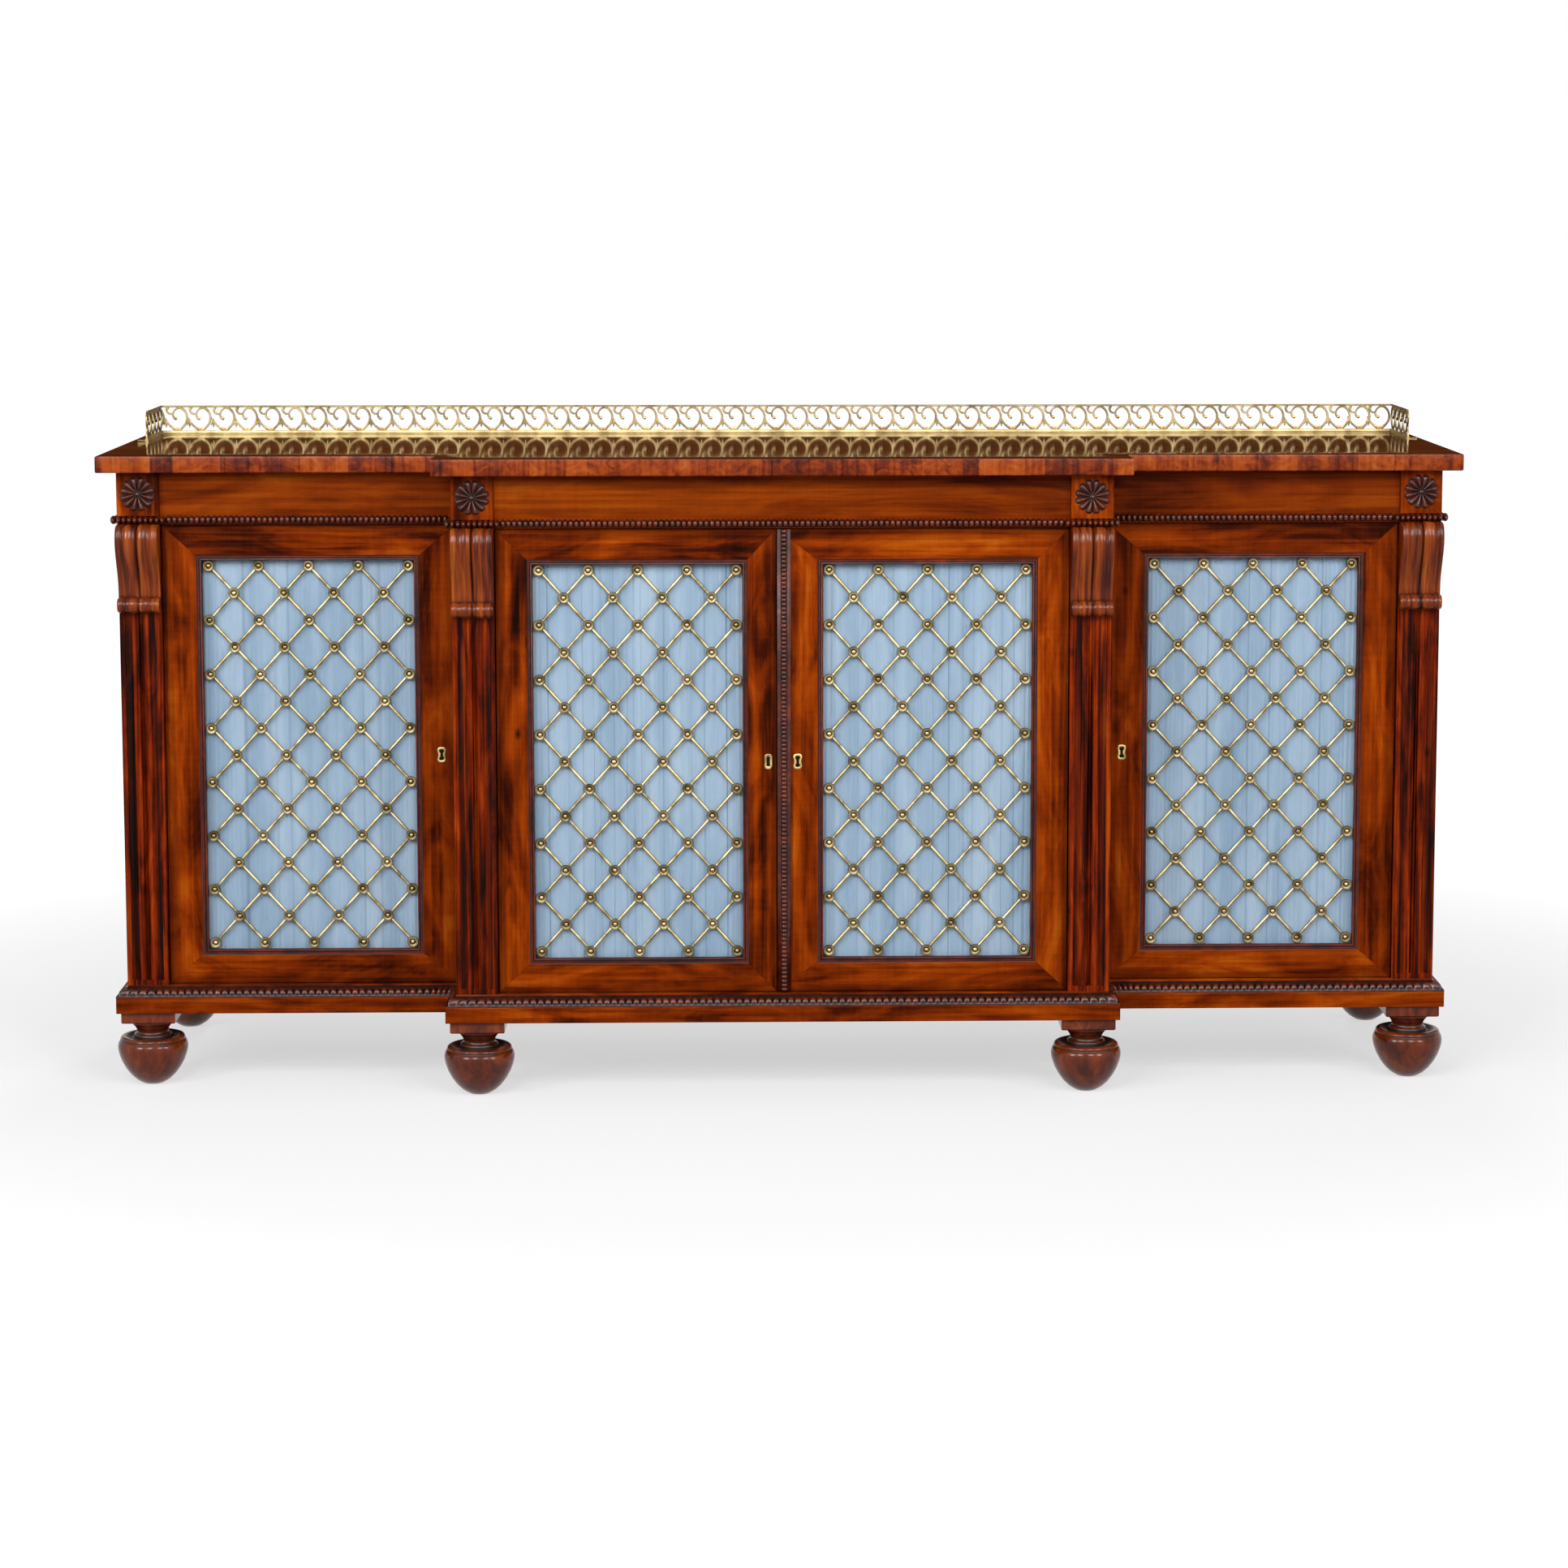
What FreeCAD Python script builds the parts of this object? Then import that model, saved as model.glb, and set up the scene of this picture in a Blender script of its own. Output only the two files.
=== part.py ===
import FreeCAD, Part
import math
import os

import Sketcher

# Breakfront chiffonier in mahogany with four grille doors and a pierced brass gallery.
# Frame: millimetres, +Z up, +X to the right as seen from the front, front towards -Y,
# origin at the bottom centre of the whole cabinet.

os.makedirs("parts", exist_ok=True)
doc = FreeCAD.newDocument("chiffonier")
sheet = doc.addObject("Spreadsheet::Sheet", "Sizes")

sizes = {
    # plan of the case
    "centreHalf": 468.5,       # middle of the cabinet to the outer face of a centre pilaster
    "wingWidth": 481,          # centre pilaster's outer face to the end of the case
    "columnWidth": 60,
    "columnDepth": 30,
    "breakStep": 74,           # how far the centre stands in front of the wings
    "caseDepth": 526,          # face of the centre blocks to the back
    "panelThick": 20,          # end panels and partitions
    "backThick": 12,
    # top board and gallery
    "topThick": 24,
    "topOverhang": 26,
    "topBackOverhang": 10,
    "galleryInset": 21,
    "galleryBackInset": 14,
    "galleryReturn": 151,
    "galleryHeight": 44,
    "galleryThick": 3,
    "galleryBase": 7,
    "galleryRail": 4,
    "scrollPitch": 34,
    "firstScroll": 25.8,       # left end of the back run to the foot of its first scroll
    "lastScroll": 18,
    "scrollBar": 2.4,
    "galleryEnd": 12,          # free end of a return, shaped as a standing scroll
    "tabLength": 12,
    "tabWidth": 8,
    "tabThick": 1.5,
    # heights, from the floor up
    "footHeight": 96,
    "padHeight": 15,
    "plinthHeight": 23,
    "baseThick": 16,
    "openingHeight": 670,
    "friezeHeight": 76,
    # plinth and feet
    "plinthOut": 15,
    "plinthThick": 22,
    "plinthTop": 2.5,          # how far the beading's top edge stands out of the case
    "plinthBeadHeight": 14,
    "plinthBeadLip": 2.5,      # upright lower edge of the beading
    "padWidth": 80,
    "padInset": 5,             # plinth face to the face of a foot's square pad
    "footRadius": 51,
    "rearFootIn": 52,
    # frieze
    "blockOut": 5,
    "blockDrop": 63,
    "friezeSet": 7,            # frieze face behind the face of the blocks
    "friezeThick": 38,
    "beadLift": 1.5,
    "beadHeight": 11.5,
    "beadOut": 8,
    "blockBeadOut": 9,
    "beadJoint": 0.4,          # joint between lengths of the beading
    "pateraRadius": 24,
    "pateraThick": 5,
    "pateraEdge": 3.5,
    # pilasters and corbels
    "corbelHeight": 124,
    "corbelOut": 30,
    "sillHeight": 8,
    "reedFillet": 7.5,
    "reedDepth": 6,
    # doors
    "doorSet": 8,              # door face behind the face of the pilasters
    "doorThick": 22,
    "doorGap": 1.5,
    "astragalLap": 8,          # meeting edge to the left of the middle line
    "centreSightIn": 57.5,     # middle line to the sight openings of the centre doors
    "centreHingeStile": 52,
    "wingLockStile": 59.2,
    "wingHingeStile": 55.7,
    "bottomRail": 48.5,
    "topRail": 51,
    "mouldWidth": 8,
    "mouldDepth": 9,
    "mouldStep": 2.5,
    # grille and silk
    "rodWidth": 4.3,
    "rodThick": 2.15,
    "rosetteRadius": 8.3,
    "rosetteThick": 2.3,
    "rosetteMargin": 0.3,
    "silkGap": 0.3,
    "silkThick": 4,
    # astragal
    "astragalWidth": 19,
    "astragalBase": 2.5,
    "astragalBead": 10,
    "astragalOut": 7.5,
    # pivots
    "pivotIn": 14,
    "pivotBack": 5.5,
    "pivotEdge": 1,            # hinge edge of the door to the end of a plate
    "pivotLength": 32,
    "pivotWidth": 9,
    "pivotThick": 2.5,
    "pinRadius": 2.5,
    "pinLength": 8,
    "pinClearance": 0.05,
    "pinBore": 3.5,            # hole in the wood round a pin
    "pinSpare": 2,             # depth of that hole past the pin's end
    # locks and bolts
    "wingKeyIn": 22,
    "rightKeyIn": 29,
    "leftKeyIn": 11.5,
    "lockLength": 34,
    "lockHeight": 56,
    "lockThick": 9,
    "boltLength": 20,
    "boltHeight": 14,
    "boltThick": 4.4,
    "boltThrow": 8,
    "boltClearance": 0.3,
    "scutcheonHeight": 22,
    "scutcheonWidth": 12,
    "scutcheonThick": 1.2,
    "scutcheonRim": 1.7,
    "keyholeWidth": 4,
    "keyholeHeight": 12,
    "slipWidth": 8,
    "slipThick": 5.4,
    "slipLength": 90,
    "slipThrow": 9,
    "slipIn": 12,
    "slipKnob": 3,
    # inside
    "shelfThick": 18,
    "shelfRise": 322,          # floor of the case to the underside of a shelf
    "shelfSetback": 12,
    "shelfClearance": 1,
    "bearer": 20,
    "rearRailHeight": 40,
    "backStile": 60,
    "backPanelThick": 6,
    "stopLength": 60,
    "stopThick": 10,
    "stopHeight": 14,
    "stopClearance": 0.3,
}


class Length:
    """A length in millimetres together with the sheet formula that gives it."""

    def __init__(self, value, formula):
        self.value = value
        self.formula = formula

    def join(self, sign, other, value):
        return Length(value, f"({self.formula} {sign} {other.formula})")

    def __add__(self, other):
        other = asLength(other)
        return self.join("+", other, self.value + other.value)

    def __sub__(self, other):
        other = asLength(other)
        return self.join("-", other, self.value - other.value)

    def __mul__(self, other):
        other = asLength(other)
        return self.join("*", other, self.value * other.value)

    def __truediv__(self, other):
        other = asLength(other)
        return self.join("/", other, self.value / other.value)

    def __neg__(self):
        return Length(-self.value, f"(0 - {self.formula})")


def asLength(thing):
    return thing if isinstance(thing, Length) else Length(float(thing), f"{float(thing)}")


class Sizes:
    """The sheet's sizes as attributes."""


s = Sizes()
for row, (alias, number) in enumerate(sizes.items(), start=1):
    sheet.set(f"A{row}", alias)
    sheet.set(f"B{row}", str(number))
    sheet.setAlias(f"B{row}", alias)
    setattr(s, alias, Length(float(number), f"Sizes.{alias}"))
doc.recompute()

zero = asLength(0)
nodes = {}


# Planes and places that several pieces share.
caseHalf = s.centreHalf + s.wingWidth
frontEdge = -(s.topOverhang + s.caseDepth + s.topBackOverhang) / 2
blockFace = frontEdge + s.topOverhang
pilasterFace = blockFace + s.blockOut
friezeFace = blockFace + s.friezeSet
doorFace = pilasterFace + s.doorSet
plinthFace = pilasterFace - s.plinthOut
backFace = blockFace + s.caseDepth
backInner = backFace - s.backThick
padTop = s.footHeight + s.padHeight
plinthTopZ = padTop + s.plinthHeight
baseTop = plinthTopZ + s.baseThick
friezeBottom = baseTop + s.openingHeight
topUnder = friezeBottom + s.friezeHeight
topSurface = topUnder + s.topThick
beadBottom = friezeBottom + s.beadLift
beadTop = beadBottom + s.beadHeight
corbelBottom = beadBottom - s.corbelHeight
doorBottom = baseTop + s.doorGap
doorTop = friezeBottom - s.doorGap
doorMiddle = (doorBottom + doorTop) / 2
sightBottom = doorBottom + s.bottomRail
sightTop = doorTop - s.topRail
centreInner = s.centreHalf - s.columnWidth
wingInner = caseHalf - s.columnWidth
centreColumn = s.centreHalf - s.columnWidth / 2
wingColumn = caseHalf - s.columnWidth / 2


def bind(thing, prop, length):
    thing.setExpression(prop, length.formula)


def onSide(side, low, high):
    """The span from low to high on the right, or its mirror image on the left."""
    return (low, high) if side > 0 else (-high, -low)


def node(label, thing):
    """Registers a finished sub-part under the name of its file."""
    thing.Label = label
    nodes[label] = thing
    return thing


def board(label, x, y, z):
    """A rectangular piece between a low and a high place along each axis."""
    piece = doc.addObject("Part::Box", label)
    piece.Label = label
    for prop, axis, (low, high) in zip(("Length", "Width", "Height"), "xyz", (x, y, z)):
        bind(piece, prop, high - low)
        bind(piece, f"Placement.Base.{axis}", low)
    return piece


def rod(label, x, y, z, radius):
    """An upright round piece from a low to a high place."""
    piece = doc.addObject("Part::Cylinder", label)
    piece.Label = label
    bind(piece, "Radius", radius)
    bind(piece, "Height", z[1] - z[0])
    bind(piece, "Placement.Base.x", x)
    bind(piece, "Placement.Base.y", y)
    bind(piece, "Placement.Base.z", z[0])
    return piece


def group(label, pieces):
    bundle = doc.addObject("Part::Compound", label)
    bundle.Label = label
    bundle.Links = pieces
    return bundle


def cut(label, base, tools):
    """The base with every tool's room taken out of it."""
    result = doc.addObject("Part::Cut", label)
    result.Label = label
    result.Base = base
    result.Tool = group(label + "_room", tools) if len(tools) > 1 else tools[0]
    return result


def fuse(label, base, tool):
    result = doc.addObject("Part::Fuse", label)
    result.Label = label
    result.Base = base
    result.Tool = tool
    return result


def newBody(label):
    body = doc.addObject("PartDesign::Body", label)
    body.Label = label
    return body


def place(thing, x, y, z):
    for axis, length in zip("xyz", (x, y, z)):
        bind(thing, f"Placement.Base.{axis}", asLength(length))


def newSketch(body, name, role, offset):
    """A sketch on one of the body's own origin planes, moved along its normal."""
    sketch = body.newObject("Sketcher::SketchObject", name)
    plane = next(item for item in body.Origin.OriginFeatures if item.Role == role)
    sketch.AttachmentSupport = [(plane, "")]
    sketch.MapMode = "FlatFace"
    bind(sketch, "AttachmentOffset.Base.z", asLength(offset))
    return sketch


def addPolygon(sketch, corners):
    """A closed polygon whose corners are each tied to the sheet."""
    first = sketch.GeometryCount
    count = len(corners)
    spots = [FreeCAD.Vector(u.value, v.value, 0) for u, v in corners]
    for k in range(count):
        sketch.addGeometry(Part.LineSegment(spots[k], spots[(k + 1) % count]))
    for k in range(count):
        following = first + (k + 1) % count
        sketch.addConstraint(Sketcher.Constraint("Coincident", first + k, 2, following, 1))
    for k, (u, v) in enumerate(corners):
        for kind, length, axis in (("DistanceX", u, -2), ("DistanceY", v, -1)):
            if length is zero:
                sketch.addConstraint(Sketcher.Constraint("PointOnObject", first + k, 1, axis))
                continue
            index = sketch.addConstraint(
                Sketcher.Constraint(kind, -1, 1, first + k, 1, length.value))
            sketch.setExpression(f"Constraints[{index}]", length.formula)


def addCurve(sketch, start, steps):
    """A closed outline of lines and arcs: a step is an end point, or a point passed and an end."""
    first = sketch.GeometryCount
    here = FreeCAD.Vector(start[0], start[1], 0)
    for step in steps:
        end = FreeCAD.Vector(step[-2], step[-1], 0)
        if len(step) == 4:
            sketch.addGeometry(Part.Arc(here, FreeCAD.Vector(step[0], step[1], 0), end))
        else:
            sketch.addGeometry(Part.LineSegment(here, end))
        here = end
    count = sketch.GeometryCount - first
    for k in range(count):
        ends = [2, 1]
        for slot, index in enumerate((first + k, first + (k + 1) % count)):
            edge = sketch.Geometry[index]
            if isinstance(edge, Part.ArcOfCircle) and edge.Circle.Axis.z < 0:
                ends[slot] = 3 - ends[slot]
        following = first + (k + 1) % count
        sketch.addConstraint(
            Sketcher.Constraint("Coincident", first + k, ends[0], following, ends[1]))


def rectangle(x, y):
    return [(x[0], y[0]), (x[1], y[0]), (x[1], y[1]), (x[0], y[1])]


def pad(body, sketch, length, reverse=False):
    feature = body.newObject("PartDesign::Pad", sketch.Name + "_pad")
    feature.Profile = sketch
    bind(feature, "Length", asLength(length))
    feature.Reversed = reverse
    sketch.Visibility = False
    return feature


def breakfront(out, back):
    """The plan of the case, let out by a distance at the front and the ends."""
    centre = s.centreHalf + out
    end = caseHalf + out
    front = pilasterFace - out
    step = front + s.breakStep
    return [(-end, step), (-centre, step), (-centre, front), (centre, front),
            (centre, step), (end, step), (end, back), (-end, back)]


def makeTop():
    """Breakfront top board."""
    body = newBody("top_board")
    centre = s.centreHalf + s.topOverhang
    end = caseHalf + s.topOverhang
    step = frontEdge + s.breakStep
    back = backFace + s.topBackOverhang
    corners = [(-end, step), (-centre, step), (-centre, frontEdge), (centre, frontEdge),
               (centre, step), (end, step), (end, back), (-end, back)]
    sketch = newSketch(body, "top_plan", "XY_Plane", topUnder)
    addPolygon(sketch, corners)
    pad(body, sketch, s.topThick)
    node("top_board", body)


def pocketsForPivots(z, low):
    """Room for the carcass pivot plates of all four doors."""
    rooms = []
    for door in doors:
        y = door["face"] + s.pivotBack
        span = (z - s.pivotThick, z) if low else (z, z + s.pivotThick)
        label = door["name"] + ("_low_seat" if low else "_high_seat")
        rooms.append(board(label, plateX(door),
                           (y - s.pivotWidth / 2, y + s.pivotWidth / 2), span))
    return rooms


def slipHole(door, label, z):
    """Room in the case for the end of a slip bolt."""
    x = slipX(door)
    y = slipY(door)
    room = s.boltClearance
    return board(label, (x - s.slipWidth / 2 - room, x + s.slipWidth / 2 + room),
                 (y[0] - room, y[1] + room), z)


def makeBase():
    """Floor of the case: a breakfront board on the plinth."""
    body = newBody("base_plan_board")
    sketch = newSketch(body, "base_plan", "XY_Plane", plinthTopZ)
    corners = [(-caseHalf, pilasterFace + s.breakStep),
               (-s.centreHalf, pilasterFace + s.breakStep),
               (-s.centreHalf, pilasterFace), (s.centreHalf, pilasterFace),
               (s.centreHalf, pilasterFace + s.breakStep),
               (caseHalf, pilasterFace + s.breakStep),
               (caseHalf, backFace), (-caseHalf, backFace)]
    addPolygon(sketch, corners)
    pad(body, sketch, s.baseThick)
    hole = slipHole(doors[1], "slip_hole_low", (baseTop - s.slipThrow, baseTop))
    node("base_board", cut("base_board", body, pocketsForPivots(baseTop, True) + [hole]))


def makeCase():
    """End panels, partitions, back panels and rear top rails."""
    for side, name in ((-1, "left"), (1, "right")):
        x = onSide(side, caseHalf - s.panelThick, caseHalf)
        y = (pilasterFace + s.breakStep + s.columnDepth, backFace)
        node(f"end_panel_{name}", board(f"end_panel_{name}", x, y, (baseTop, topUnder)))
        x = onSide(side, s.centreHalf - s.panelThick, s.centreHalf)
        y = (pilasterFace + s.columnDepth, backInner)
        upright = board(f"upright_{name}", x, y, (baseTop, topUnder))
        door = doors[0] if side < 0 else doors[3]
        face = -s.centreHalf if side < 0 else s.centreHalf
        hole = boltRoom(door, f"mortise_{name}", face, -side, s.boltThrow)
        node(f"partition_{name}", cut(f"partition_{name}", upright, [hole]))
    rails = []
    for k, (low, high) in enumerate(bays()):
        rails.append(board(f"rear_rail_{k}", (low, high), (backInner - s.panelThick, backInner),
                           (topUnder - s.rearRailHeight, topUnder)))
    node("top_rails", group("top_rails", rails))


def bays():
    """The clear inside of the left wing, the centre and the right wing."""
    inner = s.centreHalf - s.panelThick
    end = caseHalf - s.panelThick
    return [(-end, -s.centreHalf), (-inner, inner), (s.centreHalf, end)]


def makeBack():
    """Framed and panelled back in three parts between the end panels."""
    edge = caseHalf - s.panelThick
    spans = [(-edge, -s.centreHalf), (-s.centreHalf, s.centreHalf), (s.centreHalf, edge)]
    pieces = []
    z = (baseTop, topUnder)
    y = (backInner, backFace)
    for k, (low, high) in enumerate(spans):
        left = low + s.backStile
        right = high - s.backStile
        bottom = z[0] + s.backStile
        top = z[1] - s.backStile
        pieces.append(board(f"back_stile_left_{k}", (low, left), y, z))
        pieces.append(board(f"back_stile_right_{k}", (right, high), y, z))
        pieces.append(board(f"back_rail_low_{k}", (left, right), y, (z[0], bottom)))
        pieces.append(board(f"back_rail_high_{k}", (left, right), y, (top, z[1])))
        middle = (y[0] + y[1]) / 2
        half = s.backPanelThick / 2
        pieces.append(board(f"back_field_{k}", (left, right), (middle - half, middle + half),
                            (bottom, top)))
    node("back_panels", group("back_panels", pieces))


def makeShelves():
    """One shelf in each bay, resting on two bearers."""
    bearers = []
    z = baseTop + s.shelfRise
    for k, (name, (low, high)) in enumerate(zip(("left", "centre", "right"), bays())):
        front = doorFace + s.doorThick + s.shelfSetback
        if name != "centre":
            front = front + s.breakStep
        y = (front, backInner - s.shelfClearance)
        shelf = board(f"shelf_{name}", (low + s.shelfClearance, high - s.shelfClearance), y,
                      (z, z + s.shelfThick))
        node(f"shelf_{name}", shelf)
        y = (front + s.bearer, backInner)
        for end, x in (("a", (low, low + s.bearer)), ("b", (high - s.bearer, high))):
            bearers.append(board(f"bearer_{name}_{end}", x, y, (z - s.bearer, z)))
    node("shelf_bearers", group("shelf_bearers", bearers))


def makeFriezes():
    """Three frieze boards between the blocks, with seats for the pivots above the doors."""
    spans = [("left", (-wingInner, -s.centreHalf), s.breakStep),
             ("centre", (-centreInner, centreInner), zero),
             ("right", (s.centreHalf, wingInner), s.breakStep)]
    z = (friezeBottom, topUnder)
    boards = []
    for name, x, setBack in spans:
        y = (friezeFace + setBack, friezeFace + setBack + s.friezeThick)
        boards.append(board(f"frieze_blank_{name}", x, y, z))
    hole = slipHole(doors[1], "slip_hole_high", (friezeBottom, friezeBottom + s.slipThrow))
    tools = pocketsForPivots(friezeBottom, False) + [hole]
    node("frieze_boards", cut("frieze_boards", group("frieze_blanks", boards), tools))


def makeStops():
    """Small blocks under the friezes that the doors close against."""
    stops = []
    for door in doors:
        y = door["face"] + s.doorThick + s.stopClearance
        edge = door["lockEdge"]
        low = edge + s.doorGap if door["hinge"] > 0 else edge - s.doorGap - s.stopLength
        stops.append(board(door["name"] + "_stop", (low, low + s.stopLength),
                           (y, y + s.stopThick), (friezeBottom - s.stopHeight, friezeBottom)))
    node("door_stops", group("door_stops", stops))


def columns():
    """Middle, face and outer side of each of the four pilasters, from left to right."""
    step = s.breakStep
    return [("left_end", -wingColumn, pilasterFace + step, -1),
            ("left_centre", -centreColumn, pilasterFace, -1),
            ("right_centre", centreColumn, pilasterFace, 1),
            ("right_end", wingColumn, pilasterFace + step, 1)]


def makePilaster(name, x, y):
    """A post with a sunk front panel holding two reeds with hollows beside them."""
    body = newBody(f"pilaster_{name}")
    half = s.columnWidth / 2
    deep = s.reedDepth.value
    inner = half.value - s.reedFillet.value
    back = s.columnDepth.value
    reed = inner * 0.38          # middle of a reed from the middle of the panel
    hollow = inner * 0.90
    ends = ((baseTop, s.sillHeight), (corbelBottom, topUnder - corbelBottom))
    for k, (bottom, height) in enumerate(ends):
        sketch = newSketch(body, f"{name}_block_{k}", "XY_Plane", bottom)
        addPolygon(sketch, rectangle((-half, half), (zero, s.columnDepth)))
        pad(body, sketch, height)
    shaft = newSketch(body, f"{name}_section", "XY_Plane", baseTop + s.sillHeight)
    start = (-half.value, back)
    steps = [(-half.value, 0), (-inner, 0), (-inner, deep), (-hollow, deep),
             (-inner * 0.75, deep * 0.82, -inner * 0.64, deep * 0.45),
             (-reed, 0.5, -inner * 0.09, deep * 0.85), (0, deep * 1.1),
             (inner * 0.09, deep * 0.85),
             (reed, 0.5, inner * 0.64, deep * 0.45),
             (inner * 0.75, deep * 0.82, hollow, deep),
             (inner, deep), (inner, 0), (half.value, 0), (half.value, back), start]
    addCurve(shaft, start, steps)
    pad(body, shaft, corbelBottom - baseTop - s.sillHeight)
    place(body, x, y, 0)
    node(f"pilaster_{name}", body)


def makeCorbel(name, x, y):
    """A scrolled console: bold at the top, drawn in to a neck and ending in a small roll."""
    body = newBody(f"corbel_{name}")
    high = s.corbelHeight.value
    out = s.corbelOut.value
    half = s.columnWidth.value / 2
    bands = (("ground", -half, half, 4.0), ("left_fillet", -half, -half * 0.74, 0),
             ("left_reed", -half * 0.64, -half * 0.09, 0),
             ("right_reed", half * 0.09, half * 0.64, 0),
             ("right_fillet", half * 0.74, half, 0))
    for band, low, far, sunk in bands:
        face = out - sunk
        neck = out * 0.17 - sunk * 0.5
        roll = out * 0.64 - sunk
        sketch = newSketch(body, f"{name}_{band}", "YZ_Plane", low)
        steps = [(-face * 0.9, high),
                 (-face, high * 0.91, -face * 0.93, high * 0.79),
                 (-face * 0.62, high * 0.64, -neck - out * 0.1, high * 0.47),
                 (-neck, high * 0.30, -neck - out * 0.06, high * 0.17),
                 (-roll * 0.75, high * 0.165, -roll, high * 0.085),
                 (-roll * 0.72, high * 0.015, -roll * 0.3, 0), (0, 0), (0, high)]
        addCurve(sketch, (0, high), steps)
        pad(body, sketch, far - low)
    place(body, x, y, corbelBottom)
    return body


def makeBlocks():
    """Square blocks of the frieze above the pilasters, and the carved paterae on them."""
    blocks = []
    paterae = []
    half = s.columnWidth / 2
    for name, x, y, side in columns():
        z = (topUnder - s.blockDrop, topUnder)
        blocks.append(board(f"block_{name}", (x - half, x + half), (y - s.blockOut, y), z))
        paterae.append(makePatera(name, x, y - s.blockOut, topUnder - s.blockDrop / 2))
    node("frieze_blocks", group("frieze_blocks", blocks))
    node("paterae", group("paterae", paterae))


def makePatera(name, x, y, z):
    """A round flower of twelve petals with a raised middle."""
    body = newBody(f"patera_{name}")
    petals = 12
    spots = []
    for k in range(3 * petals):
        reach = s.pateraRadius * (0.88 if k % 3 == 0 else 1.0)
        turn = 2 * math.pi * (k + 0.5) / (3 * petals)
        spots.append((reach * math.cos(turn), reach * math.sin(turn)))
    sketch = newSketch(body, f"petals_{name}", "XZ_Plane", 0)
    addPolygon(sketch, spots)
    pad(body, sketch, s.pateraEdge)
    boss = newSketch(body, f"boss_{name}", "XZ_Plane", 0)
    boss.addGeometry(Part.Circle(FreeCAD.Vector(0, 0, 0), FreeCAD.Vector(0, 0, 1),
                                 s.pateraRadius.value * 0.2))
    pad(body, boss, s.pateraThick)
    place(body, x, y, z)
    return body


def strip(label, along, span, face, out):
    """Beading of half-round section along X or Y, standing out of a face by a signed width."""
    body = newBody(label)
    low, high = span
    plane, start = ("YZ_Plane", low) if along == "X" else ("XZ_Plane", -high)
    sketch = newSketch(body, label + "_section", plane, start)
    corners = [(face, beadBottom), (face + out * 0.6, beadBottom),
               (face + out, beadBottom + s.beadHeight * 0.25),
               (face + out, beadBottom + s.beadHeight * 0.75),
               (face + out * 0.6, beadTop), (face, beadTop)]
    addPolygon(sketch, corners)
    pad(body, sketch, high - low)
    return body


def makeFriezeBeading():
    """Half-round beading under the frieze, broken forward over each pilaster."""
    pieces = []
    lap = s.blockBeadOut
    joint = lap + s.beadJoint
    step = s.breakStep
    for name, x, y, side in columns():
        half = s.columnWidth / 2 + lap
        pieces.append(strip(f"bead_{name}", "X", (x - half, x + half), y, -(lap + s.blockOut)))
    runs = [("left", (-wingInner + joint, -s.centreHalf - joint), friezeFace + step),
            ("centre", (-centreInner + joint, centreInner - joint), friezeFace),
            ("right", (s.centreHalf + joint, wingInner - joint), friezeFace + step)]
    for name, span, y in runs:
        pieces.append(strip(f"bead_run_{name}", "X", span, y, -s.beadOut))
    for side, name in ((-1, "left"), (1, "right")):
        pieces.append(strip(f"bead_end_{name}", "Y", (pilasterFace + step, backFace),
                            caseHalf * side, lap * side))
        pieces.append(strip(f"bead_step_{name}", "Y", (pilasterFace, friezeFace + step),
                            s.centreHalf * side, lap * side))
    node("frieze_beading", group("frieze_beading", pieces))


def makePlinth():
    """Plinth boards under the floor of the case, with sloped beading above them."""
    z = (padTop, plinthTopZ)
    thick = s.plinthThick
    centre = s.centreHalf + s.plinthOut
    end = caseHalf + s.plinthOut
    step = plinthFace + s.breakStep
    boards = [board("plinth_centre", (-centre, centre), (plinthFace, plinthFace + thick), z),
              board("plinth_rear", (-end + thick, end - thick), (backFace - thick, backFace), z)]
    for side, name in ((-1, "left"), (1, "right")):
        x = onSide(side, centre - thick, centre)
        boards.append(board(f"plinth_step_{name}", x, (plinthFace + thick, step), z))
        x = onSide(side, centre - thick, end)
        boards.append(board(f"plinth_wing_{name}", x, (step, step + thick), z))
        x = onSide(side, end - thick, end)
        boards.append(board(f"plinth_end_{name}", x, (step + thick, backFace), z))
    node("plinth_boards", group("plinth_boards", boards))
    beading = doc.addObject("Part::Feature", "plinth_beading")
    wires = []
    for out, height in ((s.plinthOut, plinthTopZ), (s.plinthOut, plinthTopZ + s.plinthBeadLip),
                        (s.plinthTop, plinthTopZ + s.plinthBeadHeight)):
        outer = breakfront(out, backFace)
        inner = breakfront(zero, backFace)
        ring = [outer[-1]] + outer[:-1] + [inner[-2]] + inner[-3::-1] + [inner[-1]]
        corners = [FreeCAD.Vector(u.value, v.value, height.value) for u, v in ring]
        wires.append(Part.makePolygon(corners + corners[:1]))
    beading.Shape = Part.makeLoft(wires, True, True)
    node("plinth_beading", beading)


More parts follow.
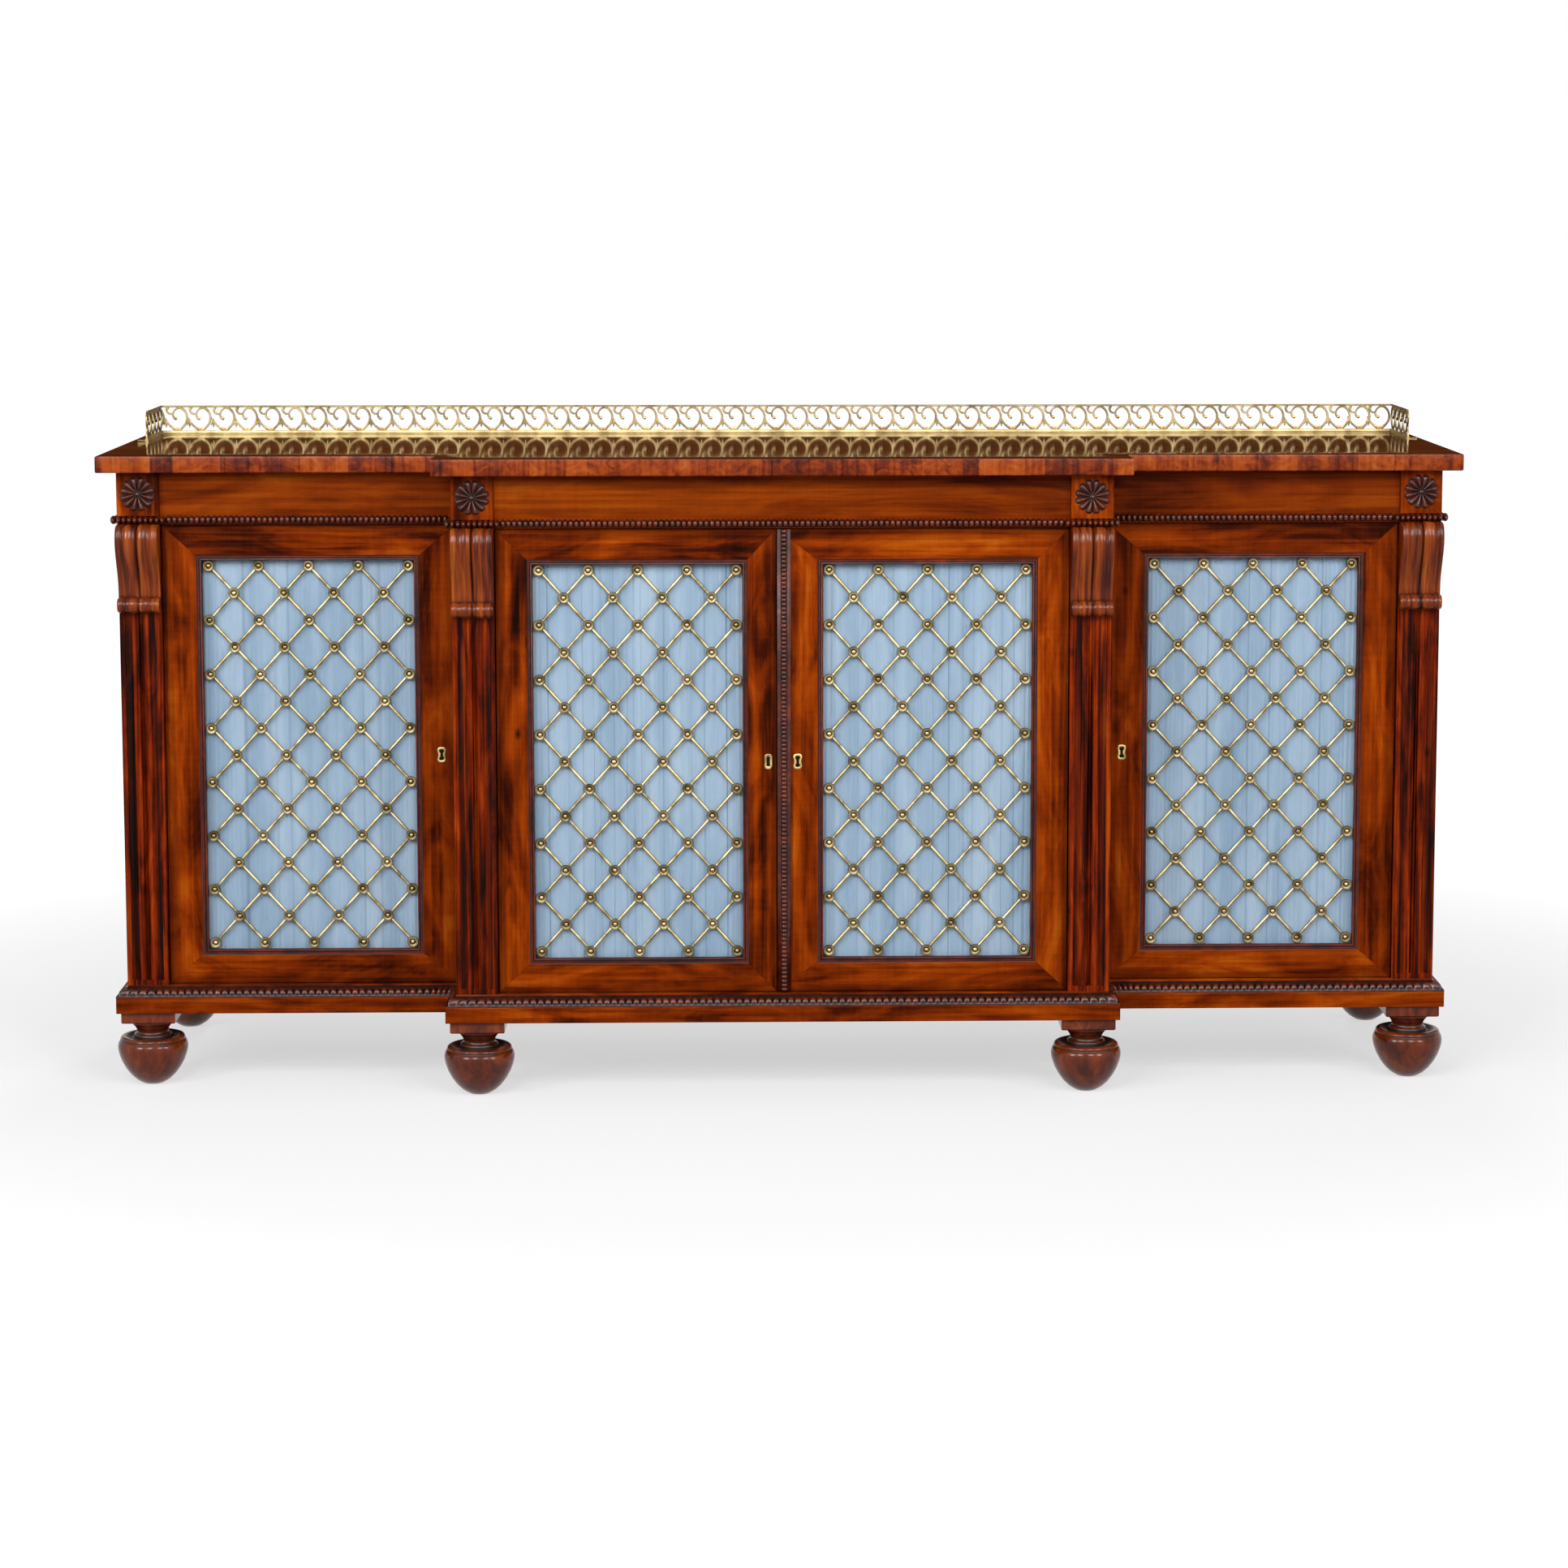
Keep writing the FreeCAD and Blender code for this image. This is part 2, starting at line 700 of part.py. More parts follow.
def makeFoot(name, x, y):
    """A turned foot: top-shaped bulb, neck with a ring and collar, and a square pad."""
    body = newBody(f"foot_{name}")
    high = s.footHeight.value
    wide = s.footRadius.value
    profile = newSketch(body, f"turning_{name}", "XZ_Plane", 0)
    steps = [(wide * 0.28, 0), (wide * 0.50, high * 0.07),
             (wide * 0.86, high * 0.26, wide, high * 0.50),
             (wide * 0.98, high * 0.58, wide * 0.90, high * 0.65),
             (wide * 0.87, high * 0.67),
             (wide * 0.75, high * 0.70, wide * 0.63, high * 0.68),
             (wide * 0.55, high * 0.70),
             (wide * 0.56, high * 0.75, wide * 0.47, high * 0.79), (wide * 0.43, high * 0.80),
             (wide * 0.47, high * 0.86, wide * 0.60, high * 0.92),
             (wide * 0.60, high), (0, high), (0, 0)]
    addCurve(profile, (0, 0), steps)
    turning = body.newObject("PartDesign::Revolution", f"turned_{name}")
    turning.Profile = profile
    turning.ReferenceAxis = (profile, ["V_Axis"])
    turning.Angle = 360
    half = s.padWidth / 2
    square = newSketch(body, f"pad_{name}", "XY_Plane", s.footHeight)
    addPolygon(square, rectangle((-half, half), (-half, half)))
    pad(body, square, s.padHeight)
    place(body, x, y, 0)
    return body


def makeFeet():
    """Four feet under the pilasters and two at the back corners."""
    inset = s.padInset + s.padWidth / 2
    front = plinthFace + inset
    fore = [makeFoot(name, x, front + (s.breakStep if name.endswith("end") else zero))
            for name, x, y, side in columns()]
    node("front_feet", group("front_feet", fore))
    rear = [makeFoot(f"rear_{name}", wingColumn * side, backFace - s.rearFootIn)
            for side, name in ((-1, "left"), (1, "right"))]
    node("rear_feet", group("rear_feet", rear))


def strokeFace(points, width):
    """A flat bar of one width along a bent line in the XZ plane."""
    left = []
    right = []
    count = len(points)
    for k, (x, z) in enumerate(points):
        before = points[max(k - 1, 0)]
        after = points[min(k + 1, count - 1)]
        dx = after[0] - before[0]
        dz = after[1] - before[1]
        long = math.hypot(dx, dz)
        nx = -dz / long * width / 2
        nz = dx / long * width / 2
        left.append(FreeCAD.Vector(x + nx, 0, z + nz))
        right.append(FreeCAD.Vector(x - nx, 0, z - nz))
    loop = left + right[::-1]
    return Part.Face(Part.makePolygon(loop + loop[:1]))


# One scroll of the gallery as a line from its inner tip over the top and down to its foot,
# the leaf that joins it to the scroll before it, and the standing scroll of a free end.
# Places are shares of the height of the pierced part, from the scroll's foot. The corner line
# is the half scroll that the left corner of the back run cuts off.
scrollLine = [(-0.08, 0.54), (-0.21, 0.70), (-0.10, 0.90), (0.15, 0.98), (0.40, 0.80),
              (0.44, 0.45), (0.25, 0.16), (0, 0.02)]
leafLine = [(-0.55, 0.48), (-0.36, 0.20), (0, 0.02)]
cornerLine = [(0.05, 0.90), (0.17, 0.75), (0.20, 0.54), (0.15, 0.32), (0.05, 0.14), (0.05, 0)]
endLine = [(0.34, 1.0), (0.12, 0.86), (0.10, 0.62), (0.22, 0.40), (0.10, 0.16), (0.10, 0)]


def galleryRun(length, first, last, freeEnd=0):
    """A pierced strip standing along X: base rail, running scrolls and top rail.
    The feet of the scrolls stand evenly between a first and a last place."""
    base = s.galleryBase.value
    rail = s.galleryRail.value
    high = s.galleryHeight.value
    fret = high - base - rail
    bar = s.scrollBar.value

    def bars(lines, x):
        return [strokeFace([(x + u * fret, base + v * fret) for u, v in line], bar)
                for line in lines]

    spaces = max(int(round((length - first - last) / s.scrollPitch.value)), 1)
    pitch = (length - first - last) / spaces
    faces = bars((endLine if freeEnd else cornerLine,), 0)
    for k in range(spaces + 1):
        faces += bars((scrollLine, leafLine), first + k * pitch)
    faces.append(strokeFace([(freeEnd, high - rail / 2), (length, high - rail / 2)], rail))
    floor = strokeFace([(0, base / 2), (length, base / 2)], base)
    flat = floor.multiFuse(faces).removeSplitter()
    return flat.extrude(FreeCAD.Vector(0, s.galleryThick.value, 0))


def makeGallery():
    """Brass gallery: a long run at the back and a short return at each end, with screw tabs."""
    thick = s.galleryThick.value
    half = (caseHalf + s.topOverhang - s.galleryInset).value
    back = (backFace + s.topBackOverhang - s.galleryBackInset).value
    front = back - s.galleryReturn.value
    top = topSurface.value
    run = galleryRun(2 * half, s.firstScroll.value, s.lastScroll.value)
    run.translate(FreeCAD.Vector(-half, back - thick, top))
    solids = [run]
    for side in (-1, 1):
        free = s.galleryEnd.value
        halfPitch = s.scrollPitch.value / 2
        leg = galleryRun(s.galleryReturn.value - thick, free + halfPitch, halfPitch, free)
        leg.rotate(FreeCAD.Vector(0, 0, 0), FreeCAD.Vector(0, 0, 1), 90)
        leg.translate(FreeCAD.Vector(-half + thick if side < 0 else half, front, top))
        tab = Part.makeBox(s.tabLength.value, s.tabWidth.value, s.tabThick.value)
        tab.translate(FreeCAD.Vector(-half - s.tabLength.value if side < 0 else half, front, top))
        solids += [leg, tab]
    gallery = doc.addObject("Part::Feature", "gallery")
    gallery.Shape = Part.makeCompound(solids)
    node("gallery", gallery)


def pivotX(door):
    return door["hingeEdge"] - s.pivotIn * door["hinge"]


def plateX(door):
    """Where a pivot plate lies along the door, from just inside its hinge edge."""
    end = door["hingeEdge"] - s.pivotEdge * door["hinge"]
    far = end - s.pivotLength * door["hinge"]
    return (end, far) if door["hinge"] < 0 else (far, end)


def slipX(door):
    return door["lockEdge"] + s.slipIn * door["hinge"]


def slipY(door):
    back = door["face"] + s.doorThick - s.boltClearance
    return (back - s.slipThick, back)


def inward(door, start, length):
    """A span that starts at the lock edge side and runs towards the hinge."""
    low = start
    high = start + length * door["hinge"]
    return (low, high) if door["hinge"] > 0 else (high, low)


def boltY(door):
    middle = door["face"] + s.doorThick - s.lockThick / 2
    return (middle - s.boltThick / 2, middle + s.boltThick / 2)


def boltRoom(door, label, start, direction, length):
    """Room for a lock bolt, from a face into the wood, with clearance round it."""
    room = s.boltClearance
    low = start
    high = start + length * direction
    x = (low, high) if direction > 0 else (high, low)
    y = boltY(door)
    z = (doorMiddle - s.boltHeight / 2, doorMiddle + s.boltHeight / 2)
    return board(label, x, (y[0] - room, y[1] + room), (z[0] - room, z[1] + room))


def doorSpecs():
    """Edges, sight opening, face and hinge side (-1 left, 1 right) of each door."""
    lap = s.astragalLap
    gap = s.doorGap
    wing = doorFace + s.breakStep
    wingEdges = (s.centreHalf + gap, wingInner - gap)
    wingSight = (wingEdges[0] + s.wingLockStile, wingEdges[1] - s.wingHingeStile)
    centreOut = centreInner - gap
    centreSight = (s.centreSightIn, centreOut - s.centreHingeStile)
    return [
        {"name": "door_left", "x": (-wingEdges[1], -wingEdges[0]), "face": wing, "hinge": -1,
         "sight": (-wingSight[1], -wingSight[0]), "key": s.wingKeyIn},
        {"name": "door_centre_left", "x": (-centreOut, -lap - gap), "face": doorFace,
         "hinge": -1, "sight": (-centreSight[1], -centreSight[0]), "key": s.leftKeyIn},
        {"name": "door_centre_right", "x": (-lap, centreOut), "face": doorFace,
         "hinge": 1, "sight": centreSight, "key": s.rightKeyIn},
        {"name": "door_right", "x": wingEdges, "face": wing, "hinge": 1,
         "sight": wingSight, "key": s.wingKeyIn},
    ]


doors = doorSpecs()
for spec in doors:
    spec["hingeEdge"] = spec["x"][0] if spec["hinge"] < 0 else spec["x"][1]
    spec["lockEdge"] = spec["x"][1] if spec["hinge"] < 0 else spec["x"][0]


def makeFrame(door):
    """Two stiles and two rails, cut out for the pivots, the lock and the keyhole."""
    name = door["name"]
    low, high = door["x"]
    lip = s.mouldWidth
    left = door["sight"][0] - lip
    right = door["sight"][1] + lip
    y = (door["face"], door["face"] + s.doorThick)
    z = (doorBottom, doorTop)
    pieces = [board(name + "_stile_left", (low, left), y, z),
              board(name + "_stile_right", (right, high), y, z),
              board(name + "_rail_low", (left, right), y, (z[0], sightBottom - lip)),
              board(name + "_rail_high", (left, right), y, (sightTop + lip, z[1]))]
    tools = []
    px = pivotX(door)
    py = door["face"] + s.pivotBack
    for tag, span, bore in (
            ("low", (z[0], z[0] + s.pivotThick), (z[0], z[0] + s.pinLength + s.pinSpare)),
            ("high", (z[1] - s.pivotThick, z[1]), (z[1] - s.pinLength - s.pinSpare, z[1]))):
        tools.append(board(f"{name}_seat_{tag}", plateX(door),
                           (py - s.pivotWidth / 2, py + s.pivotWidth / 2), span))
        tools.append(rod(f"{name}_bore_{tag}", px, py, bore, s.pinBore))
    key = door["lockEdge"] + door["key"] * door["hinge"]
    tools.append(board(name + "_scutcheon_seat",
                       (key - s.scutcheonWidth / 2, key + s.scutcheonWidth / 2),
                       (door["face"], door["face"] + s.scutcheonThick),
                       (doorMiddle - s.scutcheonHeight / 2, doorMiddle + s.scutcheonHeight / 2)))
    if name == "door_centre_left":
        for tag, span in (("low", (z[0], z[0] + s.slipLength + s.boltClearance)),
                          ("high", (z[1] - s.slipLength - s.boltClearance, z[1]))):
            x = slipX(door)
            half = s.slipWidth / 2 + s.boltClearance
            tools.append(board(f"{name}_slip_{tag}", (x - half, x + half),
                               (slipY(door)[0] - s.boltClearance, y[1]), span))
        tools.append(boltRoom(doors[2], name + "_mortise", door["lockEdge"], -1,
                              s.boltThrow))
    else:
        tools.append(board(name + "_lock_seat", inward(door, door["lockEdge"], s.lockLength),
                           (y[1] - s.lockThick, y[1]),
                           (doorMiddle - s.lockHeight / 2, doorMiddle + s.lockHeight / 2)))
    keyway = board(name + "_keyway", (key - s.keyholeWidth / 2, key + s.keyholeWidth / 2),
                   (door["face"] + s.scutcheonThick, y[1] - s.lockThick),
                   (doorMiddle - s.keyholeHeight / 2, doorMiddle + s.keyholeHeight / 2))
    node(name + "_frame", cut(name + "_frame", group(name + "_blank", pieces),
                              tools + [keyway]))


def makeMoulding(door):
    """Mitred moulding round the sight opening: a raised outer bead and a lower inner edge."""
    name = door["name"]
    body = newBody(name + "_moulding")
    face = door["face"]
    back = face + s.mouldDepth
    low, high = door["sight"]
    for tag, out, inside, front in (
            ("bead", s.mouldWidth, s.mouldWidth / 2, face),
            ("lip", s.mouldWidth / 2, zero, face + s.mouldStep)):
        sketch = newSketch(body, f"{name}_{tag}", "XZ_Plane", -back)
        addPolygon(sketch, rectangle((low - out, high + out), (sightBottom - out, sightTop + out)))
        addPolygon(sketch, rectangle((low - inside, high + inside),
                                     (sightBottom - inside, sightTop + inside)))
        pad(body, sketch, back - front)
    node(name + "_moulding", body)


def diagonal(points, y, thick, width, box):
    """A flat bar through two points of the XZ plane, ended at the edges of a box."""
    (x0, z0), (x1, z1) = points
    slope = (z1 - z0) / (x1 - x0)
    low, high, bottom, top = box
    reach = math.hypot(1, slope) * width / 2
    ends = []
    for x in (low, high):
        z = z0 + slope * (x - x0)
        clear = min(max(z, bottom + reach), top - reach)
        ends.append((x if clear == z else x0 + (clear - z0) / slope, clear))
    if abs(ends[1][0] - ends[0][0]) < width:
        return None
    run = FreeCAD.Vector(ends[1][0] - ends[0][0], 0, ends[1][1] - ends[0][1])
    side = FreeCAD.Vector(-run.z, 0, run.x).normalize() * (width / 2)
    inset = FreeCAD.Vector(run).normalize() * (width / 2 * abs(slope))
    a = FreeCAD.Vector(ends[0][0], y, ends[0][1]) + inset
    b = FreeCAD.Vector(ends[1][0], y, ends[1][1]) - inset
    corners = [a + side, b + side, b - side, a - side]
    face = Part.Face(Part.makePolygon(corners + corners[:1]))
    return face.extrude(FreeCAD.Vector(0, thick, 0))


def makeGrille(door):
    """Brass trellis: two crossing layers of flat rods and a rosette on every crossing."""
    low, high = (edge.value for edge in door["sight"])
    bottom = sightBottom.value
    top = sightTop.value
    lip = s.mouldWidth.value
    radius = s.rosetteRadius.value
    margin = radius + s.rosetteMargin.value
    across = 4
    rows = 14
    pitchX = (high - low - 2 * margin) / (2 * across)
    pitchZ = (top - bottom - 2 * margin) / rows
    front = (door["face"] + s.mouldDepth).value
    thick = s.rodThick.value
    box = (low - lip, high + lip, bottom - lip, top + lip)
    solids = []
    for rising in (1, -1):
        y = front if rising > 0 else front + thick
        for start in range(-rows, 2 * across + 1, 2):
            row = 0 if rising > 0 else rows
            first = (low + margin + start * pitchX, bottom + margin + row * pitchZ)
            second = (first[0] + pitchX, first[1] + rising * pitchZ)
            bar = diagonal((first, second), y, thick, s.rodWidth.value, box)
            if bar:
                solids.append(bar)
    for row in range(rows + 1):
        for column in range(row % 2, 2 * across + 1, 2):
            x = low + margin + column * pitchX
            z = bottom + margin + row * pitchZ
            spots = [FreeCAD.Vector(x + radius * math.cos(math.radians(60 * k)),
                                    front - s.rosetteThick.value,
                                    z + radius * math.sin(math.radians(60 * k)))
                     for k in range(6)]
            disc = Part.Face(Part.makePolygon(spots + spots[:1]))
            solids.append(disc.extrude(FreeCAD.Vector(0, s.rosetteThick.value, 0)))
    grille = doc.addObject("Part::Feature", door["name"] + "_grille")
    grille.Shape = Part.makeCompound(solids)
    node(door["name"] + "_grille", grille)


def makeSilk(door):
    """The gathered silk behind the grille, as one flat panel."""
    gap = s.silkGap
    lip = s.mouldWidth - gap
    front = door["face"] + s.mouldDepth + s.rodThick * 2 + gap
    x = (door["sight"][0] - lip, door["sight"][1] + lip)
    name = door["name"] + "_silk"
    node(name, board(name, x, (front, front + s.silkThick), (sightBottom - lip, sightTop + lip)))


def makePivots():
    """Centre pivots: plates with pins in the case, and plates with holes in the doors."""
    pins = []
    for door in doors:
        x = pivotX(door)
        y = door["face"] + s.pivotBack
        across = plateX(door)
        deep = (y - s.pivotWidth / 2, y + s.pivotWidth / 2)
        sockets = []
        name = door["name"]
        levels = (("low", (baseTop - s.pivotThick, baseTop),
                   (baseTop, doorBottom + s.pinLength),
                   (doorBottom, doorBottom + s.pivotThick)),
                  ("high", (friezeBottom, friezeBottom + s.pivotThick),
                   (doorTop - s.pinLength, friezeBottom),
                   (doorTop - s.pivotThick, doorTop)))
        for tag, plate, pin, socket in levels:
            pins.append(fuse(f"{name}_pin_{tag}", board(f"{name}_plate_{tag}", across, deep, plate),
                             rod(f"{name}_peg_{tag}", x, y, pin, s.pinRadius)))
            sockets.append(cut(f"{name}_socket_{tag}",
                               board(f"{name}_socket_plate_{tag}", across, deep, socket),
                               [rod(f"{name}_eye_{tag}", x, y, socket,
                                    s.pinRadius + s.pinClearance)]))
        node(name + "_pivots", group(name + "_pivots", sockets))
    node("pivot_pins", group("pivot_pins", pins))


def makeScutcheon(door):
    """A small waisted brass thread round the keyhole, let into the face."""
    key = door["lockEdge"] + door["key"] * door["hinge"]
    half = s.scutcheonWidth / 2
    high = s.scutcheonHeight / 2
    body = newBody(door["name"] + "_thread")
    sketch = newSketch(body, door["name"] + "_thread_plan", "XZ_Plane",
                       -(door["face"] + s.scutcheonThick))
    waisted = [(1, 0.7), (0.6, 1), (-0.6, 1), (-1, 0.7), (-0.6, 0.2), (-0.6, -0.2),
               (-1, -0.7), (-0.6, -1), (0.6, -1), (1, -0.7), (0.6, -0.2), (0.6, 0.2)]
    for edge in (zero, s.scutcheonRim):
        addPolygon(sketch, [(key + (half - edge) * u, doorMiddle + (high - edge) * v)
                            for u, v in waisted])
    pad(body, sketch, s.scutcheonThick)
    return body


def makeLock(door):
    """Lock case let into the stile, its escutcheon, and the sliding bolt."""
    name = door["name"]
    if name == "door_centre_left":
        node(name + "_scutcheon", makeScutcheon(door))
        return
    back = door["face"] + s.doorThick
    case = board(name + "_lock_case", inward(door, door["lockEdge"], s.lockLength),
                 (back - s.lockThick, back),
                 (doorMiddle - s.lockHeight / 2, doorMiddle + s.lockHeight / 2))
    channel = boltRoom(door, name + "_channel", door["lockEdge"], door["hinge"],
                       s.boltLength + 2 * s.boltClearance.value)
    case = cut(name + "_lock_body", case, [channel])
    node(name + "_lock", group(name + "_lock", [case, makeScutcheon(door)]))
    start = door["lockEdge"] + s.boltClearance * door["hinge"]
    bolt = board(name + "_bolt", inward(door, start, s.boltLength), boltY(door),
                 (doorMiddle - s.boltHeight / 2, doorMiddle + s.boltHeight / 2))
    node(name + "_bolt", bolt)


def makeSlipBolts(door):
    """Flat slip bolts in the back of the left centre door, at its top and bottom edge."""
    room = s.boltClearance
    x = slipX(door)
    y = slipY(door)
    across = (x - s.slipWidth / 2, x + s.slipWidth / 2)
    for name, z in (("slip_bolt_low", (doorBottom + room, doorBottom + s.slipLength)),
                    ("slip_bolt_high", (doorTop - s.slipLength, doorTop - room))):
        bar = board(name + "_bar", across, y, z)
        knob = doc.addObject("Part::Cylinder", name + "_knob")
        bind(knob, "Radius", s.slipKnob)
        bind(knob, "Height", s.slipKnob * 1.5)
        middle = (z[0] + z[1]) / 2
        knob.Placement = FreeCAD.Placement(FreeCAD.Vector(0, 0, 0),
                                           FreeCAD.Rotation(FreeCAD.Vector(1, 0, 0), -90))
        place(knob, x, y[1], middle)
        node(name, fuse(name, bar, knob))


def makeAstragal(door):
    """Round bead on a flat strip, fixed to the meeting edge of the right centre door."""
    body = newBody("astragal")
    face = door["face"]
    left = door["x"][0]
    right = left + s.astragalWidth
    middle = (left + right) / 2
    half = s.astragalBead / 2
    flat = face - s.astragalBase
    out = face - s.astragalOut
    sketch = newSketch(body, "astragal_section", "XY_Plane", doorBottom)
    corners = [(left, face), (left, flat), (middle - half, flat), (middle - half, flat - 2),
               (middle - half * 0.6, out), (middle + half * 0.6, out), (middle + half, flat - 2),
               (middle + half, flat), (right, flat), (right, face)]
    addPolygon(sketch, corners)
    pad(body, sketch, doorTop - doorBottom)
    node("astragal", body)


makeTop()
makeGallery()
makeBase()
makeCase()
makeBack()
makeShelves()
makeFriezes()
makeStops()
for columnName, columnX, columnY, columnSide in columns():
    makePilaster(columnName, columnX, columnY)
node("corbels", group("corbels", [makeCorbel(columnName, columnX, columnY)
                                  for columnName, columnX, columnY, columnSide in columns()]))
makeBlocks()
makeFriezeBeading()
makePlinth()
makeFeet()
for spec in doors:
    makeFrame(spec)
    makeMoulding(spec)
    makeGrille(spec)
    makeSilk(spec)
    makeLock(spec)
makePivots()
makeSlipBolts(doors[1])
makeAstragal(doors[2])
doc.recompute()

faults = [thing.Label for thing in doc.Objects
          if "Invalid" in thing.State or "Error" in thing.State]
for label, thing in nodes.items():
    if thing.Shape.isNull() or not thing.Shape.isValid() or not thing.Shape.Solids:
        faults.append(label + " (shape)")
if faults:
    raise RuntimeError("failed: " + ", ".join(faults))
for label, thing in nodes.items():
    thing.Shape.exportStep(f"parts/{label}.step")
print(len(nodes), "nodes,", sum(len(thing.Shape.Solids) for thing in nodes.values()), "solids")
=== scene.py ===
import math
from functools import partial

import bmesh
import bpy
import numpy as np
from mathutils import Matrix, Vector


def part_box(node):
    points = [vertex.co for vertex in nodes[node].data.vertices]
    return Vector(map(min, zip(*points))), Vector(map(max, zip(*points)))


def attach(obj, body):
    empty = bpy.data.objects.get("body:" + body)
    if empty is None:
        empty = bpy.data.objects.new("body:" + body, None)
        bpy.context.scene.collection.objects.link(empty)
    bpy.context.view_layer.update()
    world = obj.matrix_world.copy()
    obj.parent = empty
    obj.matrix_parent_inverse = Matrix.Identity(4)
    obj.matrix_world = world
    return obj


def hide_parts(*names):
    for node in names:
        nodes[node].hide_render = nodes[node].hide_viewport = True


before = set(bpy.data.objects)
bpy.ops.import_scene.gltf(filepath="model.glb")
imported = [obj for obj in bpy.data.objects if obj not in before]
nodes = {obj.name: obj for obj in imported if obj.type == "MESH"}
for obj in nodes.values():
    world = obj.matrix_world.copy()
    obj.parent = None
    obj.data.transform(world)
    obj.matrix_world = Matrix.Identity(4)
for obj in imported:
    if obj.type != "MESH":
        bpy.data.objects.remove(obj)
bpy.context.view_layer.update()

mm = 0.001
print("frame loaded:", len(nodes), "nodes")


# sRGB hex to the linear colour that a shader wants.
def linear(code):
    levels = [int(code[k:k + 2], 16) / 255 for k in (1, 3, 5)]
    return [v / 12.92 if v <= 0.04045 else ((v + 0.055) / 1.055) ** 2.4 for v in levels] + [1]


# A node's inputs, by place or by name: sockets are linked, and values are set.
def setInputs(node, inputs):
    for key, value in inputs.items() if isinstance(inputs, dict) else enumerate(inputs):
        if isinstance(value, bpy.types.NodeSocket):
            node.id_data.links.new(value, node.inputs[key])
        else:
            node.inputs[key].default_value = value


# One node with its settings. Stops are the (place, hex) colours of a ramp. Gives the output
# that is asked for.
def addNode(tree, kind, inputs=(), stops=(), output=0, **settings):
    node = tree.nodes.new("ShaderNode" + kind)
    for key, value in settings.items():
        setattr(node, key, value)
    setInputs(node, inputs)
    for k, (place, code) in enumerate(stops):
        band = node.color_ramp.elements
        element = band[k] if k < 2 else band.new(place)
        element.position = place
        element.color = linear(code)
    return node.outputs[output]


# A new material, its shader, and addNode for its tree.
def newMaterial(name):
    material = bpy.data.materials.new(name)
    material.use_nodes = True
    tree = material.node_tree
    return material, tree.nodes["Principled BSDF"], partial(addNode, tree)


# Old mahogany under French polish: broad golden and red figure, dark streaks that run with the
# grain, short pores filled with dark polish, a few small knots, and a shine that comes from the
# polish and not from the wood. Scales are in features per metre across and along the grain.
mahogany = {
    "veneer": {"stops": [(0.29, "#180501"), (0.39, "#4A1502"), (0.49, "#7E2C02"),
                         (0.59, "#A24004"), (0.72, "#C06210")],
               "figure": (7, 1.5), "cloud": (22, 6), "streaks": (120, 3.0), "streak": 0.40,
               "ripple": 0.05, "gloss": 0.02, "rough": 0.34, "bump": 0.06},
    "even": {"stops": [(0.22, "#180501"), (0.36, "#4A1602"), (0.48, "#742A02"),
                       (0.60, "#923C04"), (0.78, "#B05C10")],
             "figure": (6, 1.2), "cloud": (18, 4), "streaks": (110, 2.6), "streak": 0.45,
             "ripple": 0.04, "gloss": 0.02, "rough": 0.34, "bump": 0.06},
    "polished": {"stops": [(0.30, "#260B03"), (0.42, "#461805"), (0.55, "#662809"),
                           (0.70, "#803E14")],
                 "figure": (7, 1.2), "cloud": (20, 6), "streaks": (90, 2.4), "streak": 0.5,
                 "gloss": 0.25, "rough": 0.07},
    "streaked": {"stops": [(0.32, "#0E0201"), (0.43, "#3A0E02"), (0.53, "#701E02"),
                           (0.63, "#983204"), (0.74, "#B04A09")],
                 "figure": (34, 1.2), "cloud": (40, 7), "streaks": (170, 2.4), "streak": 0.75,
                 "ripple": 0.03, "gloss": 0.05, "rough": 0.25, "bump": 0.06},
    "carved": {"stops": [(0.28, "#260A02"), (0.42, "#5C1E04"), (0.54, "#8E3A06"),
                         (0.70, "#B45C12")],
               "figure": (30, 2.0), "cloud": (60, 4), "streaks": (160, 3.5), "streak": 0.6,
               "gloss": 0.16, "rough": 0.20, "bump": 0.04, "deep": 0.1},
    "turned": {"stops": [(0.28, "#2E0C03"), (0.42, "#561C05"), (0.55, "#7C3008"),
                         (0.72, "#9E4A14")],
               "figure": (14, 6), "cloud": (34, 20), "streaks": (70, 14), "streak": 0.25,
               "gloss": 0.28, "rough": 0.15, "bump": 0.03},
    "beaded": {"stops": [(0.30, "#240803"), (0.50, "#4E1807"), (0.70, "#7A2E0E")],
               "figure": (20, 20), "cloud": (60, 60), "streaks": (90, 90), "streak": 0.3,
               "gloss": 0.36, "rough": 0.20},
    "moulding": {"stops": [(0.28, "#260803"), (0.45, "#4C1305"), (0.58, "#6C2007"),
                           (0.74, "#86300C")],
                 "figure": (10, 10), "cloud": (24, 24), "streaks": (50, 50), "streak": 0.2,
                 "gloss": 0.2, "rough": 0.28},
    "inner": {"stops": [(0.28, "#3A2414"), (0.50, "#5E3E26"), (0.72, "#7E5A3A")],
              "figure": (8, 1.4), "cloud": (24, 6), "streaks": (110, 3), "streak": 0.6,
              "gloss": 0.2, "rough": 0.6, "bump": 0.1},
}
polish = {"pores": (900, 50), "waves": (26, 11)}


